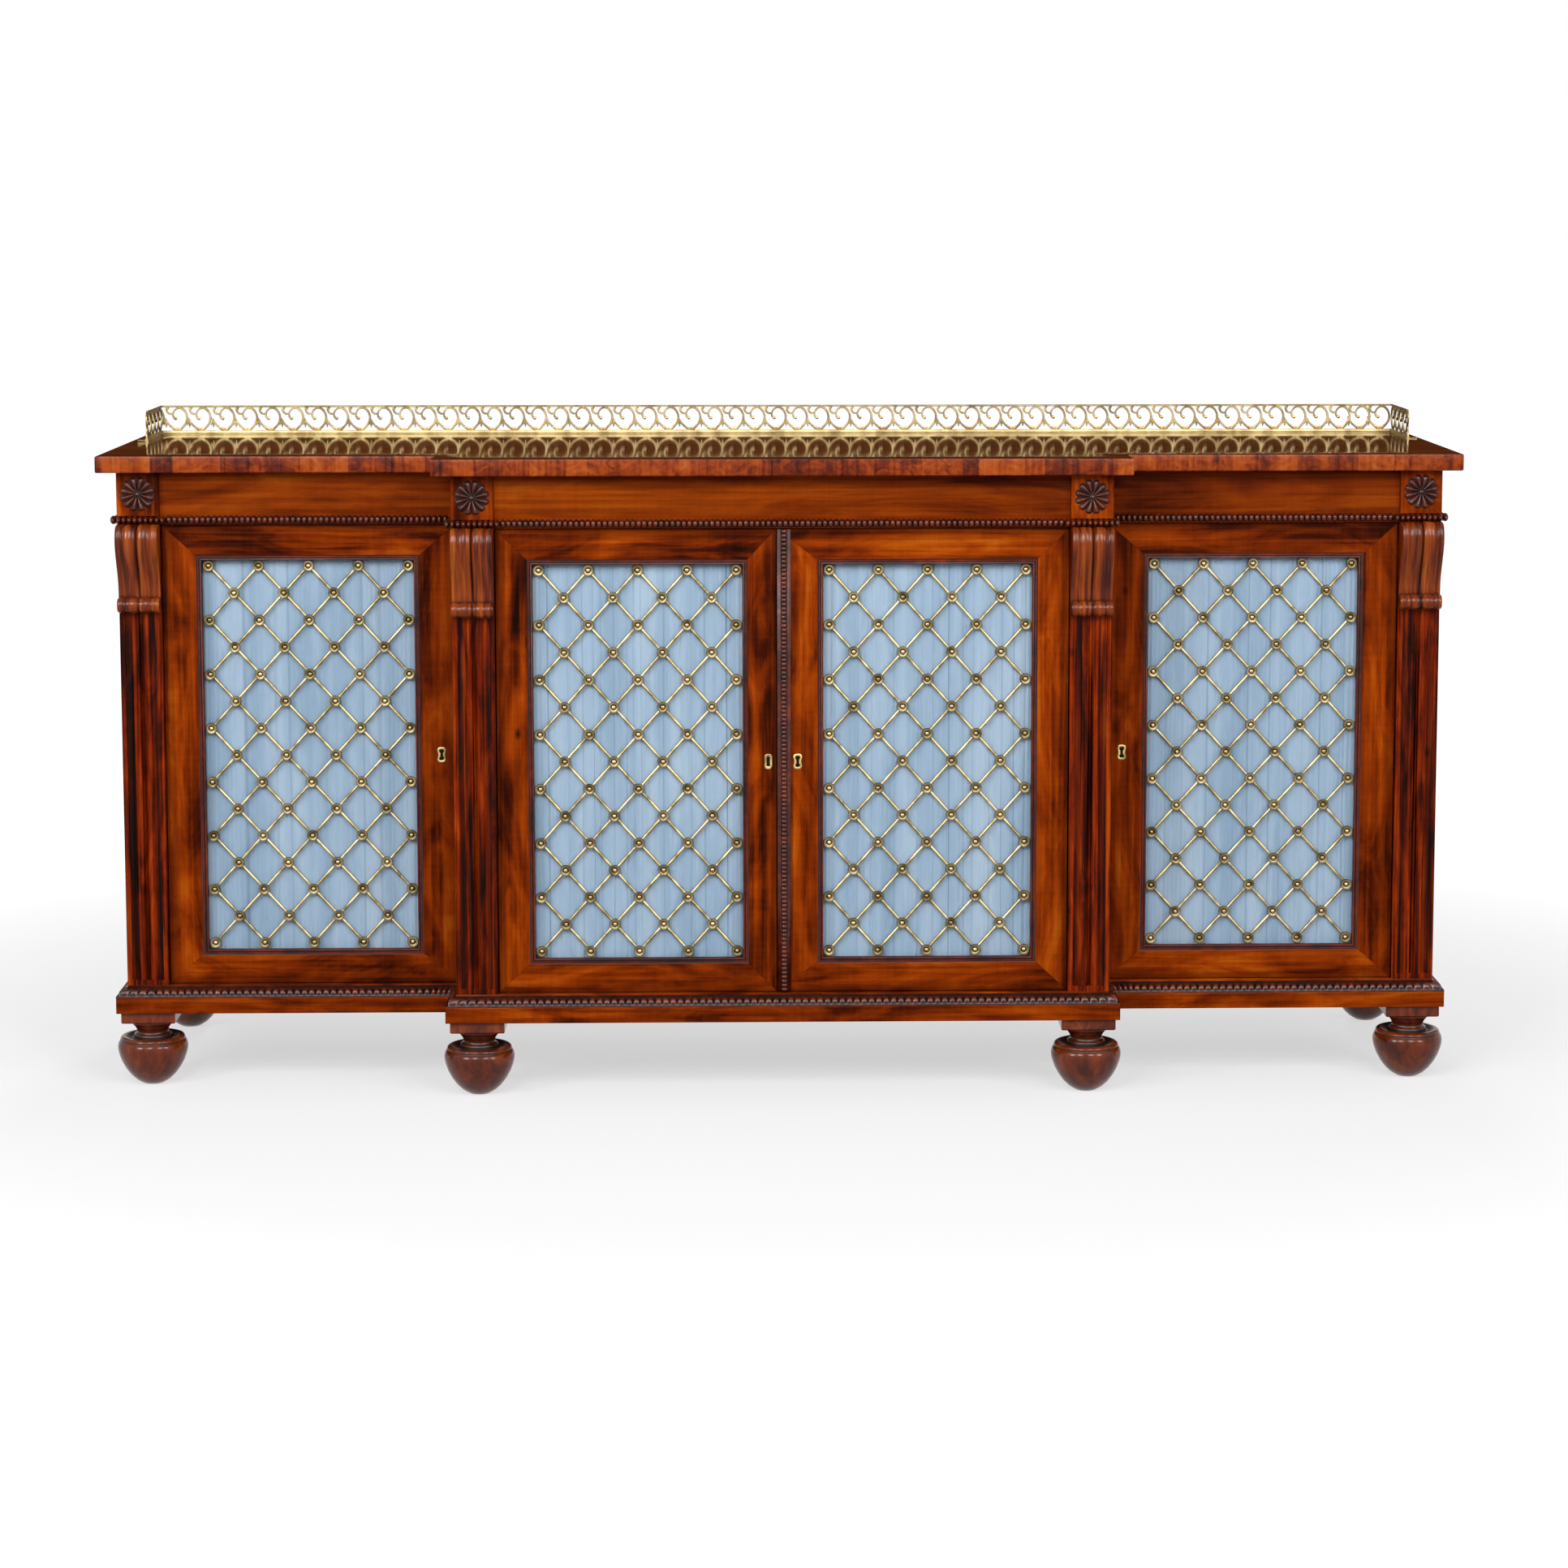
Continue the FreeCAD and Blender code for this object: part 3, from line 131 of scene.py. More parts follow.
# Where the grain turns in a mitred frame: edges is (x0, x1, z0, z1), and widths gives the two
# stiles and the two rails. Gives a mask of the rails, painted shade that darkens the rim towards
# the outer edges, and dark lines at the joints.
def mitreMasks(add, x, z, edges, widths):
    reach = []    # share of the way from each outer edge to the sight opening
    for value, low, high, wide in ((x, edges[0], edges[1], widths[:2]),
                                   (z, edges[2], edges[3], widths[2:])):
        near = add("Math", [value, low], operation="SUBTRACT")
        far = add("Math", [high, value], operation="SUBTRACT")
        near = add("Math", [near, wide[0]], operation="DIVIDE")
        far = add("Math", [far, wide[1]], operation="DIVIDE")
        reach.append(add("Math", [near, far], operation="MINIMUM"))
    gap = add("Math", reach, operation="SUBTRACT")
    rail = add("Math", [gap, 0.0], operation="GREATER_THAN")
    gap = add("Math", [gap], operation="ABSOLUTE")
    joint = add("MapRange", [gap, 0.006, 0.018, 0.3, 0.0])
    # Painted shade: the frame darkens towards its outer edges.
    rim = add("Math", reach, operation="MINIMUM")
    rim = add("MapRange", [rim, 0.0, 0.36, 0.5, 0.0], interpolation_type="SMOOTHSTEP")
    return rail, [rim, joint]


# The grain runs along one axis, or follows the frame of a mitred door.
def woodMaterial(kind, grain="Z", edges=None, widths=None):
    look = mahogany[kind]
    material, shader, add = newMaterial("mahogany_" + kind + ("_mitred" if edges else "_" + grain))
    place = add("TexCoord", output="Object")
    x, y, z = (add("SeparateXYZ", [place], output=k) for k in range(3))
    turns = {"Z": (x, y, z), "X": (z, y, x), "Y": (x, z, y)}
    vector, masks = add("CombineXYZ", turns[grain]), []
    if edges:
        rail, masks = mitreMasks(add, x, z, edges, widths)
        vector = add("Mix", {0: rail, 4: vector, 5: add("CombineXYZ", turns["X"])},
                     data_type="VECTOR", output=1)
    noises = []
    for k, ((across, along), distortion) in enumerate((
            (look["figure"], 1.3), (look["cloud"], 1.6), (look["streaks"], 0.4),
            (polish["pores"], 0), (polish["waves"], 0))):
        spot = add("Mapping", {"Vector": vector, "Location": (1.7 * k, 0.9 * k, 2.3 * k),
                               "Scale": (across, across * look.get("deep", 1), along)})
        noises.append(add("TexNoise", {"Vector": spot, "Scale": 1.0, "Detail": 3.0,
                                       "Roughness": 0.55, "Distortion": distortion}))
    figure, cloud, streaks, pores, waves = noises
    tone = add("Math", [figure, cloud], operation="ADD")
    tone = add("Math", [tone, 0.5, look["streak"] * -0.5], operation="MULTIPLY_ADD")
    tone = add("Math", [streaks, look["streak"], tone], operation="MULTIPLY_ADD")
    if "ripple" in look:      # fiddleback: short bands across the grain
        spot = add("Mapping", {"Vector": vector, "Scale": (16, 16, 170)})
        ripple = add("TexNoise", {"Vector": spot, "Scale": 1.0, "Detail": 1.0})
        ripple = add("Math", [ripple, -0.5], operation="ADD")
        tone = add("Math", [ripple, look["ripple"], tone], operation="MULTIPLY_ADD")
    spot = add("Mapping", {"Vector": vector, "Scale": (13, 13, 8)})
    knots = add("TexVoronoi", {"Vector": spot, "Scale": 1.0})
    # Painted shade: the piece's "hollow" attribute darkens its recesses, grooves and bead valleys
    # towards near black, and makes them rougher.
    hollow = add("Attribute", attribute_name="hollow", output="Fac")
    masks = [add("MapRange", [pores, 0.34, 0.45, 0.22, 0.0]),
             add("MapRange", [knots, 0.02, 0.085, 0.85, 0.0]), *masks, hollow]
    colour = add("ValToRGB", [tone], stops=look["stops"])
    # Mixed towards near black: the filled pores, the knots and the joints are the wood's own; the
    # rim of a frame and the hollows are painted shade.
    for mask in masks:
        colour = add("Mix", {0: mask, 6: colour, 7: linear("#0C0401")}, data_type="RGBA",
                     output=2)
    rough = add("Math", [waves, look["rough"] * 0.4, look["rough"] * 0.8],
                operation="MULTIPLY_ADD")
    setInputs(shader, {"Base Color": colour,
                       "Roughness": add("Math", [hollow, 0.3, rough], operation="MULTIPLY_ADD"),
                       "Specular IOR Level": look["gloss"]})
    if "bump" in look:
        height = add("Math", [pores, 0.1, waves], operation="MULTIPLY_ADD")
        setInputs(shader, {"Normal": add("Bump", {"Strength": look["bump"], "Distance": 0.001,
                                                  "Height": height})})
    return material


# Crossbanding: short pieces of veneer laid side by side round the edge of the top, 30 to 60 mm
# long, each from another part of the log, with the grain across the edge. The place along the
# edge is the sum of X and Y, because each run follows one of them.
def crossbandMaterial():
    material, shader, add = newMaterial("mahogany_crossbanding")
    place = add("TexCoord", output="Object")
    x, y = (add("SeparateXYZ", [place], output=k) for k in range(2))
    along = add("Math", [x, y], operation="ADD")
    wander, broad, fine = (
        add("TexNoise", {"W": along, "Scale": scale, "Detail": detail}, noise_dimensions="1D")
        for scale, detail in ((7.0, 1.0), (30.0, 2.0), (190.0, 3.0)))
    cell = add("Math", [along, 17.0], operation="MULTIPLY")
    cell = add("Math", [wander, 4.0, cell], operation="MULTIPLY_ADD")
    cell = add("Math", [cell], operation="FLOOR")
    chance = add("TexWhiteNoise", {"W": cell}, noise_dimensions="1D")
    spot = add("Mapping", {"Vector": place, "Scale": (50, 50, 60), "Rotation": (0, 0.6, 0)})
    cloud = add("TexNoise", {"Vector": spot, "Scale": 1.0, "Detail": 4.0, "Distortion": 1.6})
    tone = add("Math", [chance, 0.2, -0.1], operation="MULTIPLY_ADD")
    for source, share in ((broad, 0.34), (fine, 0.18), (cloud, 0.48)):
        tone = add("Math", [source, share, tone], operation="MULTIPLY_ADD")
    colour = add("ValToRGB", [tone], stops=[(0.28, "#30100A"), (0.40, "#682209"),
                                            (0.50, "#8E380C"), (0.60, "#A84A12"),
                                            (0.74, "#B6622A")])
    rough = add("Math", [fine, 0.15, 0.22], operation="MULTIPLY_ADD")
    setInputs(shader, {"Base Color": colour, "Roughness": rough, "Specular IOR Level": 0.1})
    return material


# Cast and lacquered brass, long unpolished: dull gold, a darker brown bloom in patches, in the
# hollows tarnish and painted shade, and rubbed crests that take the lamps as small warm
# highlights.
def brassMaterial(name, bright, dull, rough):
    material, shader, add = newMaterial(name)
    place = add("TexCoord", output="Object")
    bloom = add("TexNoise", {"Vector": place, "Scale": 55.0, "Detail": 3.0})
    spots = add("TexNoise", {"Vector": place, "Scale": 420.0, "Detail": 2.0})
    tone = add("Math", [spots, 0.2, -0.1], operation="MULTIPLY_ADD")
    tone = add("Math", [tone, bloom], operation="ADD")
    colour = add("ValToRGB", [tone], stops=[(0.34, dull), (0.62, bright)])
    # Tarnish and painted shade: the piece's "hollow" attribute darkens it towards near black.
    hollow = add("Attribute", attribute_name="hollow", output="Fac")
    colour = add("Mix", {0: hollow, 6: colour, 7: linear("#1A140A")}, data_type="RGBA", output=2)
    wear = add("Math", [bloom, 0.2, rough - 0.1], operation="MULTIPLY_ADD")
    bump = add("Bump", {"Strength": 0.06, "Distance": 0.0003, "Height": spots})
    setInputs(shader, {"Base Color": colour, "Metallic": 1.0, "Roughness": wear,
                       "Normal": bump})
    return material


# Plain weave silk, about 20 threads to the centimetre: threads are drawn 1 mm apart, because
# the real ones are too fine to show. Slubs run along the warp, a soft sheen lies on the folds,
# and painted shade darkens the creases.
def silkMaterial():
    material, shader, add = newMaterial("silk_pale_blue")
    place = add("TexCoord", output="Object")
    spots = [add("Mapping", {"Vector": place, "Scale": scale})
             for scale in ((1000, 60, 12), (70, 20, 1.1), (22, 10, 3))]
    threads, bands, cloud = (add("TexNoise", {"Vector": spot, "Scale": 1.0, "Detail": 2.0})
                             for spot in spots)
    tone = add("Math", [threads, 0.22, -0.36], operation="MULTIPLY_ADD")
    tone = add("Math", [bands, 0.55, tone], operation="MULTIPLY_ADD")
    tone = add("Math", [cloud, 0.95, tone], operation="MULTIPLY_ADD")
    colour = add("ValToRGB", [tone], stops=[(0.30, "#8BA7C0"), (0.50, "#9AB4CC"),
                                            (0.70, "#A8BFD4")])
    # Painted shade: the "hollow" attribute darkens the creases towards deep blue.
    hollow = add("Attribute", attribute_name="hollow", output="Fac")
    colour = add("Mix", {0: hollow, 6: colour, 7: linear("#40566F")}, data_type="RGBA", output=2)
    bump = add("Bump", {"Strength": 0.12, "Distance": 0.0003, "Height": threads})
    setInputs(shader, {"Base Color": colour, "Roughness": 0.6, "Specular IOR Level": 0.2,
                       "Sheen Weight": 0.15, "Sheen Roughness": 0.4, "Normal": bump})
    return material


# Forged iron lock cases: dull dark grey with brown rust in patches.
def ironMaterial():
    material, shader, add = newMaterial("iron_lock")
    rust = add("TexNoise", {"Vector": add("TexCoord", output="Object"), "Scale": 120.0,
                            "Detail": 4.0})
    colour = add("ValToRGB", [rust], stops=[(0.35, "#2C2622"), (0.65, "#6A625A")])
    setInputs(shader, {"Base Color": colour, "Metallic": 1.0, "Roughness": 0.5})
    return material


wood = {kind + axis: woodMaterial(kind, axis) for kind, axes in (
    ("veneer", "XZ"), ("even", "XZ"), ("polished", "X"), ("streaked", "Z"), ("carved", "Z"),
    ("turned", "Z"), ("beaded", "X"), ("moulding", "X"), ("inner", "XYZ")) for axis in axes}
crossband, silkBlue, lockIron = crossbandMaterial(), silkMaterial(), ironMaterial()
galleryBrass = brassMaterial("brass_gallery", "#8E7C56", "#6A5938", 0.42)
grilleBrass = brassMaterial("brass_grille", "#BAA67C", "#74653F", 0.30)
pivotBrass = brassMaterial("brass_tarnished", "#5A4A2C", "#2E2616", 0.50)
hardwareBrass = brassMaterial("brass_hardware", "#B39C6C", "#74623F", 0.40)
print("materials made:", len(bpy.data.materials))


# A grid of points (rows, columns, 3) as quads between neighbours, closed either way round where
# asked. Caps name rows ("first", "last"), columns ("left", "right") or the whole "rim" that one
# flat face fills. hollow darkens each point, from 0 to 1: painted shade, and on the rosettes also
# their own darker tone.
def shell(points, closeRows=False, closeColumns=False, caps=(), hollow=0.0):
    rows, columns = points.shape[:2]
    index = np.arange(rows * columns).reshape(rows, columns)
    r, c = np.meshgrid(np.arange(rows if closeRows else rows - 1),
                       np.arange(columns if closeColumns else columns - 1), indexing="ij")
    r2, c2 = (r + 1) % rows, (c + 1) % columns
    quads = np.stack([index[r, c], index[r, c2], index[r2, c2], index[r2, c]], -1).reshape(-1, 4)
    flats = {"first": index[0, ::-1], "last": index[-1], "left": index[:, 0],
             "right": index[::-1, -1],
             "rim": np.concatenate([index[0, :-1], index[:-1, -1], index[-1, :0:-1],
                                    index[:0:-1, 0]])[::-1]}
    loops = np.concatenate([quads.ravel()] + [flats[cap] for cap in caps])
    sizes = np.concatenate([np.full(len(quads), 4), [len(flats[cap]) for cap in caps]])
    shade = np.broadcast_to(np.asarray(hollow, float), (rows, columns)).ravel()
    return points.reshape(-1, 3), loops, sizes.astype(int), shade


# Points from their coordinates, which are spread over one another.
def spread(x, y, z):
    return np.stack(np.broadcast_arrays(x, y, z), -1)


# A solid bar or turning: each row is a ring round it, and flat faces close both ends.
def solid(rings, hollow=0.0):
    return shell(rings, closeColumns=True, caps=("first", "last"), hollow=hollow)


def addObject(name, data):
    thing = bpy.data.objects.new(name, data)
    bpy.context.scene.collection.objects.link(thing)
    return thing


# One object from many shells, smooth except at edges sharper than an angle in degrees.
def makePiece(name, shells, materials, body, replaced=(), sharp=35, outward=True):
    starts = np.cumsum([0] + [len(one[0]) for one in shells[:-1]])
    loops = np.concatenate([one[1] + start for one, start in zip(shells, starts)])
    points, sizes, shades = (np.concatenate([one[k] for one in shells]) for k in (0, 2, 3))
    mesh = bpy.data.meshes.new(name)
    mesh.vertices.add(len(points))
    mesh.vertices.foreach_set("co", points.ravel())
    mesh.loops.add(len(loops))
    mesh.loops.foreach_set("vertex_index", loops)
    mesh.polygons.add(len(sizes))
    mesh.polygons.foreach_set("loop_start", np.concatenate([[0], np.cumsum(sizes)[:-1]]))
    # The "hollow" attribute: painted shade per point, which the materials read.
    mesh.attributes.new("hollow", "FLOAT", "POINT").data.foreach_set("value", shades)
    mesh.update(calc_edges=True)
    mesh.validate()
    if outward:
        work = bmesh.new()
        work.from_mesh(mesh)
        bmesh.ops.recalc_face_normals(work, faces=work.faces)
        work.to_mesh(mesh)
        work.free()
    mesh.polygons.foreach_set("use_smooth", np.ones(len(mesh.polygons), bool))
    mesh.set_sharp_from_angle(angle=math.radians(sharp))
    for material in materials:
        mesh.materials.append(material)
    piece = addObject(name, mesh)
    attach(piece, body)
    if replaced:
        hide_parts(*replaced)
    return piece


# The step at each corner of a path that lies one unit out from both its sides. Out is to the
# right of the way along the path.
def mitres(corners, closed):
    way = np.roll(corners, -1, 0) - corners
    way = way / np.linalg.norm(way, axis=1)[:, None]
    out = np.stack([way[:, 1], -way[:, 0]], -1)
    if not closed:
        out[-1] = out[-2]
    before = np.roll(out, 1, 0)
    if not closed:
        before[0] = out[0]
    return (out + before) / (1 + (out * before).sum(1))[:, None]


beadPlaces = np.array([0.0, 0.06, 0.16, 0.32, 0.5, 0.68, 0.84, 0.94])    # stations along one bead
mitredBeads = 4     # beads next to a corner that take up its mitre; the others stand square


# Stations along a string of beads: the whole part of each counts the beads.
def beadPhases(beads):
    return (np.arange(beads)[:, None] + beadPlaces).ravel()


# Half round crests between 0 and 1 over a share from -1 to 1, and nothing outside.
def crest(share):
    return np.sqrt(np.clip(1 - np.asarray(share) ** 2, 0, 1))


# How far a round bead has swelled at a station, from 0 between two beads to 1 at its middle.
def beadRound(phase):
    return crest(2 * (phase % 1) - 1)


# A section of (out, up) points carried along straight runs with mitred corners. With a pitch,
# each run holds a whole number of beads, phase counts them, and shape(phase, section) gives the
# section at each station. Gives the grid and the phases.
def carried(corners, section, closed=False, pitch=None, shape=None):
    corners, section = np.asarray(corners, float), np.asarray(section, float)
    steps = mitres(corners, closed)
    spans = len(corners) if closed else len(corners) - 1
    rows, phases = [], []
    for k in range(spans):
        a, b = corners[k], corners[(k + 1) % len(corners)]
        beads = max(round(np.linalg.norm(b - a) / pitch), 1) if pitch else 1
        phase = beadPhases(beads) if pitch else np.zeros(1)
        if k == spans - 1 and not closed:
            phase = np.append(phase, beads)
        bent = shape(phase, section) if shape else section[None] * np.ones((len(phase), 1, 1))
        share = (phase / beads)[:, None, None]
        way = (b - a) / np.linalg.norm(b - a)
        square = np.array([way[1], -way[0]])
        near = np.clip(1 - phase / mitredBeads, 0, 1)[:, None, None]
        far = np.clip(1 - (beads - phase) / mitredBeads, 0, 1)[:, None, None] if pitch else 0
        lean = (steps[k] - square) * near + (steps[(k + 1) % len(corners)] - square) * far
        flat = a * (1 - share) + b * share + bent[..., :1] * (square + lean)
        rows.append(np.concatenate([flat, bent[..., 1:]], -1))
        phases.append(phase)
    return np.concatenate(rows), np.concatenate(phases)


# Turns all the way round, in radians.
def circle(count):
    return np.linspace(0, 2 * np.pi, count, endpoint=False)


# Rings round an axis along Y, from their radius and depth. Either may differ round a ring.
def facing(radius, depth, turn):
    return spread(radius * np.cos(turn), depth, radius * np.sin(turn))


# A profile of (radius, height) points turned about an upright axis.
def turned(profile, centre):
    return facing(profile[:, :1], profile[:, 1:], circle(72))[..., [0, 2, 1]] + centre


# Points on an arc, angles in degrees.
def arc(centre, radius, start, end, count):
    turn = np.radians(np.linspace(start, end, count))
    return np.stack([centre[0] + radius * np.cos(turn), centre[1] + radius * np.sin(turn)], -1)


# A smooth line through points: cubic pieces over the lengths of the chords.
def through(points, count):
    points = np.asarray(points, float)
    reach = np.append(0, np.cumsum(np.linalg.norm(np.diff(points, axis=0), axis=1)))
    slope = np.gradient(points, reach, axis=0)
    place = np.linspace(0, reach[-1], count)
    k = np.clip(np.searchsorted(reach, place, "right") - 1, 0, len(points) - 2)
    wide = (reach[k + 1] - reach[k])[:, None]
    t = (place - reach[k])[:, None] / wide
    return ((2 * t**3 - 3 * t**2 + 1) * points[k] + (t**3 - 2 * t**2 + t) * wide * slope[k]
            + (3 * t**2 - 2 * t**3) * points[k + 1] + (t**3 - t**2) * wide * slope[k + 1])


# A box with its ends eased by a 45 degree cut: four rings and two end faces.
def easedBox(low, high, edge):
    low, high = np.asarray(low, float), np.asarray(high, float)
    side = np.array([[0, 0], [1, 0], [1, 1], [0, 1]])
    inset = np.array([edge, 0, 0, edge])[:, None, None]
    flat = low[:2] + inset + side * (high[:2] - low[:2] - 2 * inset)
    height = np.array([low[2], low[2] + edge, high[2] - edge, high[2]])[:, None, None]
    return solid(np.concatenate([flat, np.broadcast_to(height, (4, 4, 1))], -1))


# Lowest and highest corner of a CAD node.
def corner(node):
    low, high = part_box(node)
    return np.array(low), np.array(high)


topLow, topHigh = corner("top_board")
endHalf = corner("end_panel_right")[1][0]
centreHalf = corner("pilaster_right_centre")[1][0]
wingFace = corner("pilaster_right_end")[0][1]
centreFace = corner("pilaster_right_centre")[0][1]
backFace = corner("end_panel_right")[1][1]
breakStep = wingFace - centreFace
columnWidth = centreHalf - corner("pilaster_right_centre")[0][0]
columns = ["left_end", "left_centre", "right_centre", "right_end"]
doors = ["door_left", "door_centre_left", "door_centre_right", "door_right"]


# Middle of a pilaster across, and the place of its face.
def columnPlace(name):
    low, high = corner("pilaster_" + name)
    return (low[0] + high[0]) / 2, low[1]


# Outline of the breakfront seen from above, let out by a distance, from back left to back right.
def breakfront(out, back):
    end, centre = endHalf + out, centreHalf + out
    front, wing = centreFace - out, wingFace - out
    return [(-end, back), (-end, wing), (-centre, wing), (-centre, front), (centre, front),
            (centre, wing), (end, wing), (end, back)]


# CAD nodes with their own material and, where asked, their edges eased.
def dress(names, material, edge=0.0):
    for name in names.split():
        piece = nodes[name]
        piece.data.materials.clear()
        piece.data.materials.append(material)
        if edge:
            piece.modifiers.new("weld", "WELD").merge_threshold = 0.00001
            bevel = piece.modifiers.new("easedEdges", "BEVEL")
            bevel.width = edge
            bevel.segments = 2
            bevel.limit_method = "ANGLE"
            bevel.angle_limit = math.radians(40)


eased = {"veneer": 0.6 * mm, "inner": 0.8 * mm, "bolt": 0.4 * mm}

dress("frieze_boards", wood["evenX"], eased["veneer"])
dress("plinth_boards base_board", wood["veneerX"], eased["veneer"])
dress("frieze_blocks", wood["veneerZ"], eased["veneer"])
dress("end_panel_left end_panel_right", wood["evenZ"], eased["veneer"])
dress("partition_left partition_right", wood["evenZ"], eased["inner"])
dress("shelf_left shelf_centre shelf_right top_rails door_stops", wood["innerX"],
      eased["inner"])
dress("back_panels", wood["innerZ"], eased["inner"])
dress("shelf_bearers", wood["innerY"], eased["inner"])
dress("pivot_pins " + "_pivots ".join(doors) + "_pivots", pivotBrass)
dress("slip_bolt_high slip_bolt_low", hardwareBrass)
dress("door_left_bolt door_centre_right_bolt door_right_bolt", hardwareBrass,
      eased["bolt"])

mouldingWidth = 8 * mm
sights = {}     # sight opening of each door as x0, x1, z0, z1
for door in doors:
    low, high = corner(door + "_frame")
    inner, outer = corner(door + "_moulding")
    x0, x1 = inner[0] + mouldingWidth, outer[0] - mouldingWidth
    z0, z1 = inner[2] + mouldingWidth, outer[2] - mouldingWidth
    sights[door] = x0, x1, z0, z1
    frameWood = woodMaterial("veneer", edges=(low[0], high[0], low[2], high[2]),
                             widths=(x0 - low[0], high[0] - x1, z0 - low[2], high[2] - z1))
    dress(door + "_frame", frameWood, eased["veneer"])
print("CAD nodes dressed")


topBoard = {"band": 45 * mm, "round": 2.2 * mm, "over": topHigh[0] - endHalf}


# A profile with rounded edges carried round the outline and closed by two flat fields: the edge
# is crossbanded, the top field is one polished sheet of veneer.
def makeTopBoard():
    r, low, high, band = topBoard["round"], topLow[2], topHigh[2], topBoard["band"]
    section = np.concatenate([[(-band, low)], arc((-r, low + r), r, -90, 0, 5),
                              arc((-r, high - r), r, 0, 90, 5), [(-band, high)]])
    grid = carried(breakfront(topBoard["over"], topHigh[1]), section, closed=True)[0]
    piece = makePiece("top_board_polished",
                      [shell(grid, closeRows=True, caps=("left", "right"))],
                      [crossband, wood["polishedX"]], "carcass", ["top_board"], 50)
    faces = piece.data.polygons
    centres, normals = np.empty((2, len(faces) * 3))
    faces.foreach_get("center", centres)
    faces.foreach_get("normal", normals)
    upper = (np.abs(normals[2::3]) > 0.9) & (centres[2::3] > (low + high) / 2)
    faces.foreach_set("material_index", upper.astype(np.int32))


makeTopBoard()


friezeBeads = {"pitch": 8 * mm, "valley": 0.34, "taller": 0.5 * mm, "lap": 9 * mm, "run": 8 * mm,
               "block": 14 * mm, "joint": 0.4 * mm}


# Barrel beads: the half round section swells to full size at the middle of each bead and sinks
# between two of them. Each strip is a line and how far its beads stand out.
def makeFriezeBeads():
    look = friezeBeads
    low, high = corner("frieze_beading")
    middle, half = (low[2] + high[2]) / 2, (high[2] - low[2]) / 2 + look["taller"]
    friezeFace = corner("frieze_boards")[0][1]
    wingFrieze = friezeFace + breakStep
    lap, run, joint = look["lap"], look["run"], look["joint"]
    strips = []
    for name in columns:
        x, face = columnPlace(name)
        wide = columnWidth / 2 + lap
        strips.append(([(x - wide, face), (x + wide, face)], look["block"]))
    inner = centreHalf - columnWidth - lap - joint
    wing = centreHalf + lap + joint, endHalf - columnWidth - lap - joint
    strips += [([(-wing[1], wingFrieze), (-wing[0], wingFrieze)], run),
               ([(-inner, friezeFace), (inner, friezeFace)], run),
               ([(wing[0], wingFrieze), (wing[1], wingFrieze)], run),
               ([(-endHalf, backFace), (-endHalf, wingFace)], lap),
               ([(endHalf, wingFace), (endHalf, backFace)], lap),
               ([(-centreHalf, wingFrieze), (-centreHalf, centreFace)], lap),
               ([(centreHalf, centreFace), (centreHalf, wingFrieze)], lap)]

    def barrel(phase, section):
        grow = look["valley"] + (1 - look["valley"]) * beadRound(phase)
        return section[None] * grow[:, None, None]

    shells = []
    for line, out in strips:
        section = np.concatenate([[(0, -half * 0.5)], arc((0, 0), 1, -80, 80, 7) * [out, half],
                                  [(0, half * 0.5)]])
        grid, phase = carried(line, section, pitch=look["pitch"], shape=barrel)
        # Painted shade in the valleys between beads.
        dark = np.clip(1.0 - 1.6 * beadRound(phase), 0, 0.95)[:, None]
        shells.append(solid(grid + [0, 0, middle], dark))
    makePiece("frieze_beads", shells, [wood["beadedX"]], "carcass",
              ["frieze_beading"], 60)


makeFriezeBeads()

plinthBeads = {"pitch": 10.5 * mm, "swell": 5.0 * mm, "sink": 0.4, "tall": 0.8,
               "fillet": 2.2 * mm, "edge": 1.2 * mm, "top": 3.4 * mm, "cap": 0.8 * mm}


# Pearls on the slope above the plinth: each is a cushion, the product of two arches, one over its
# share along the run and one over its share up the slope.
def makePlinthBeads():
    look = plinthBeads
    low, high = corner("plinth_beading")
    out, tall = corner("plinth_boards")[1][0] - endHalf, high[2] - low[2]
    up = np.array([0, 0.11, 0.17, 0.27, 0.42, 0.58, 0.73, 0.83, 0.89, 1.0])
    slope = np.stack([out - look["edge"] - up * (out - look["top"]),
                      look["fillet"] + up * (tall - look["fillet"] - look["cap"])], -1)
    section = np.concatenate([[(0, 0), (out, 0), (out, look["fillet"])], slope,
                              [(look["top"] - look["edge"], tall), (0, tall)]])
    normal = np.array([tall, out]) / math.hypot(tall, out)
    pearl = slice(3, 3 + len(up))

    def dome(phase):
        along = 1 - (2 * (phase[:, None] % 1) - 1) ** 2
        return (along * np.clip(1 - ((2 * up - 1) / look["tall"]) ** 2, 0, 1)) ** 0.6

    def pearls(phase, section):
        bent = section[None] * np.ones((len(phase), 1, 1))
        bent[:, pearl] += ((dome(phase) - look["sink"]) * look["swell"])[..., None] * normal
        return bent

    grid, phase = carried(breakfront(0, backFace), section, pitch=look["pitch"], shape=pearls)
    # Painted shade on the ground between the pearls.
    dark = np.zeros(grid.shape[:2])
    dark[:, pearl] = np.clip(0.9 - 1.6 * dome(phase), 0, 0.9)
    makePiece("plinth_beads", [solid(grid + [0, 0, low[2]], dark)], [wood["beadedX"]], "carcass",
              ["plinth_beading"], 75)


makePlinthBeads()
print("top board and beadings made")


pilaster = {"fillet": 7.5 * mm, "deep": 6 * mm, "sill": 8 * mm, "slope": 20 * mm,
            "above": 6 * mm, "eased": 0.5 * mm, "wall": 0.3 * mm, "lip": (0.1 * mm, 0.8 * mm),
            "stop": 0.5 * mm}


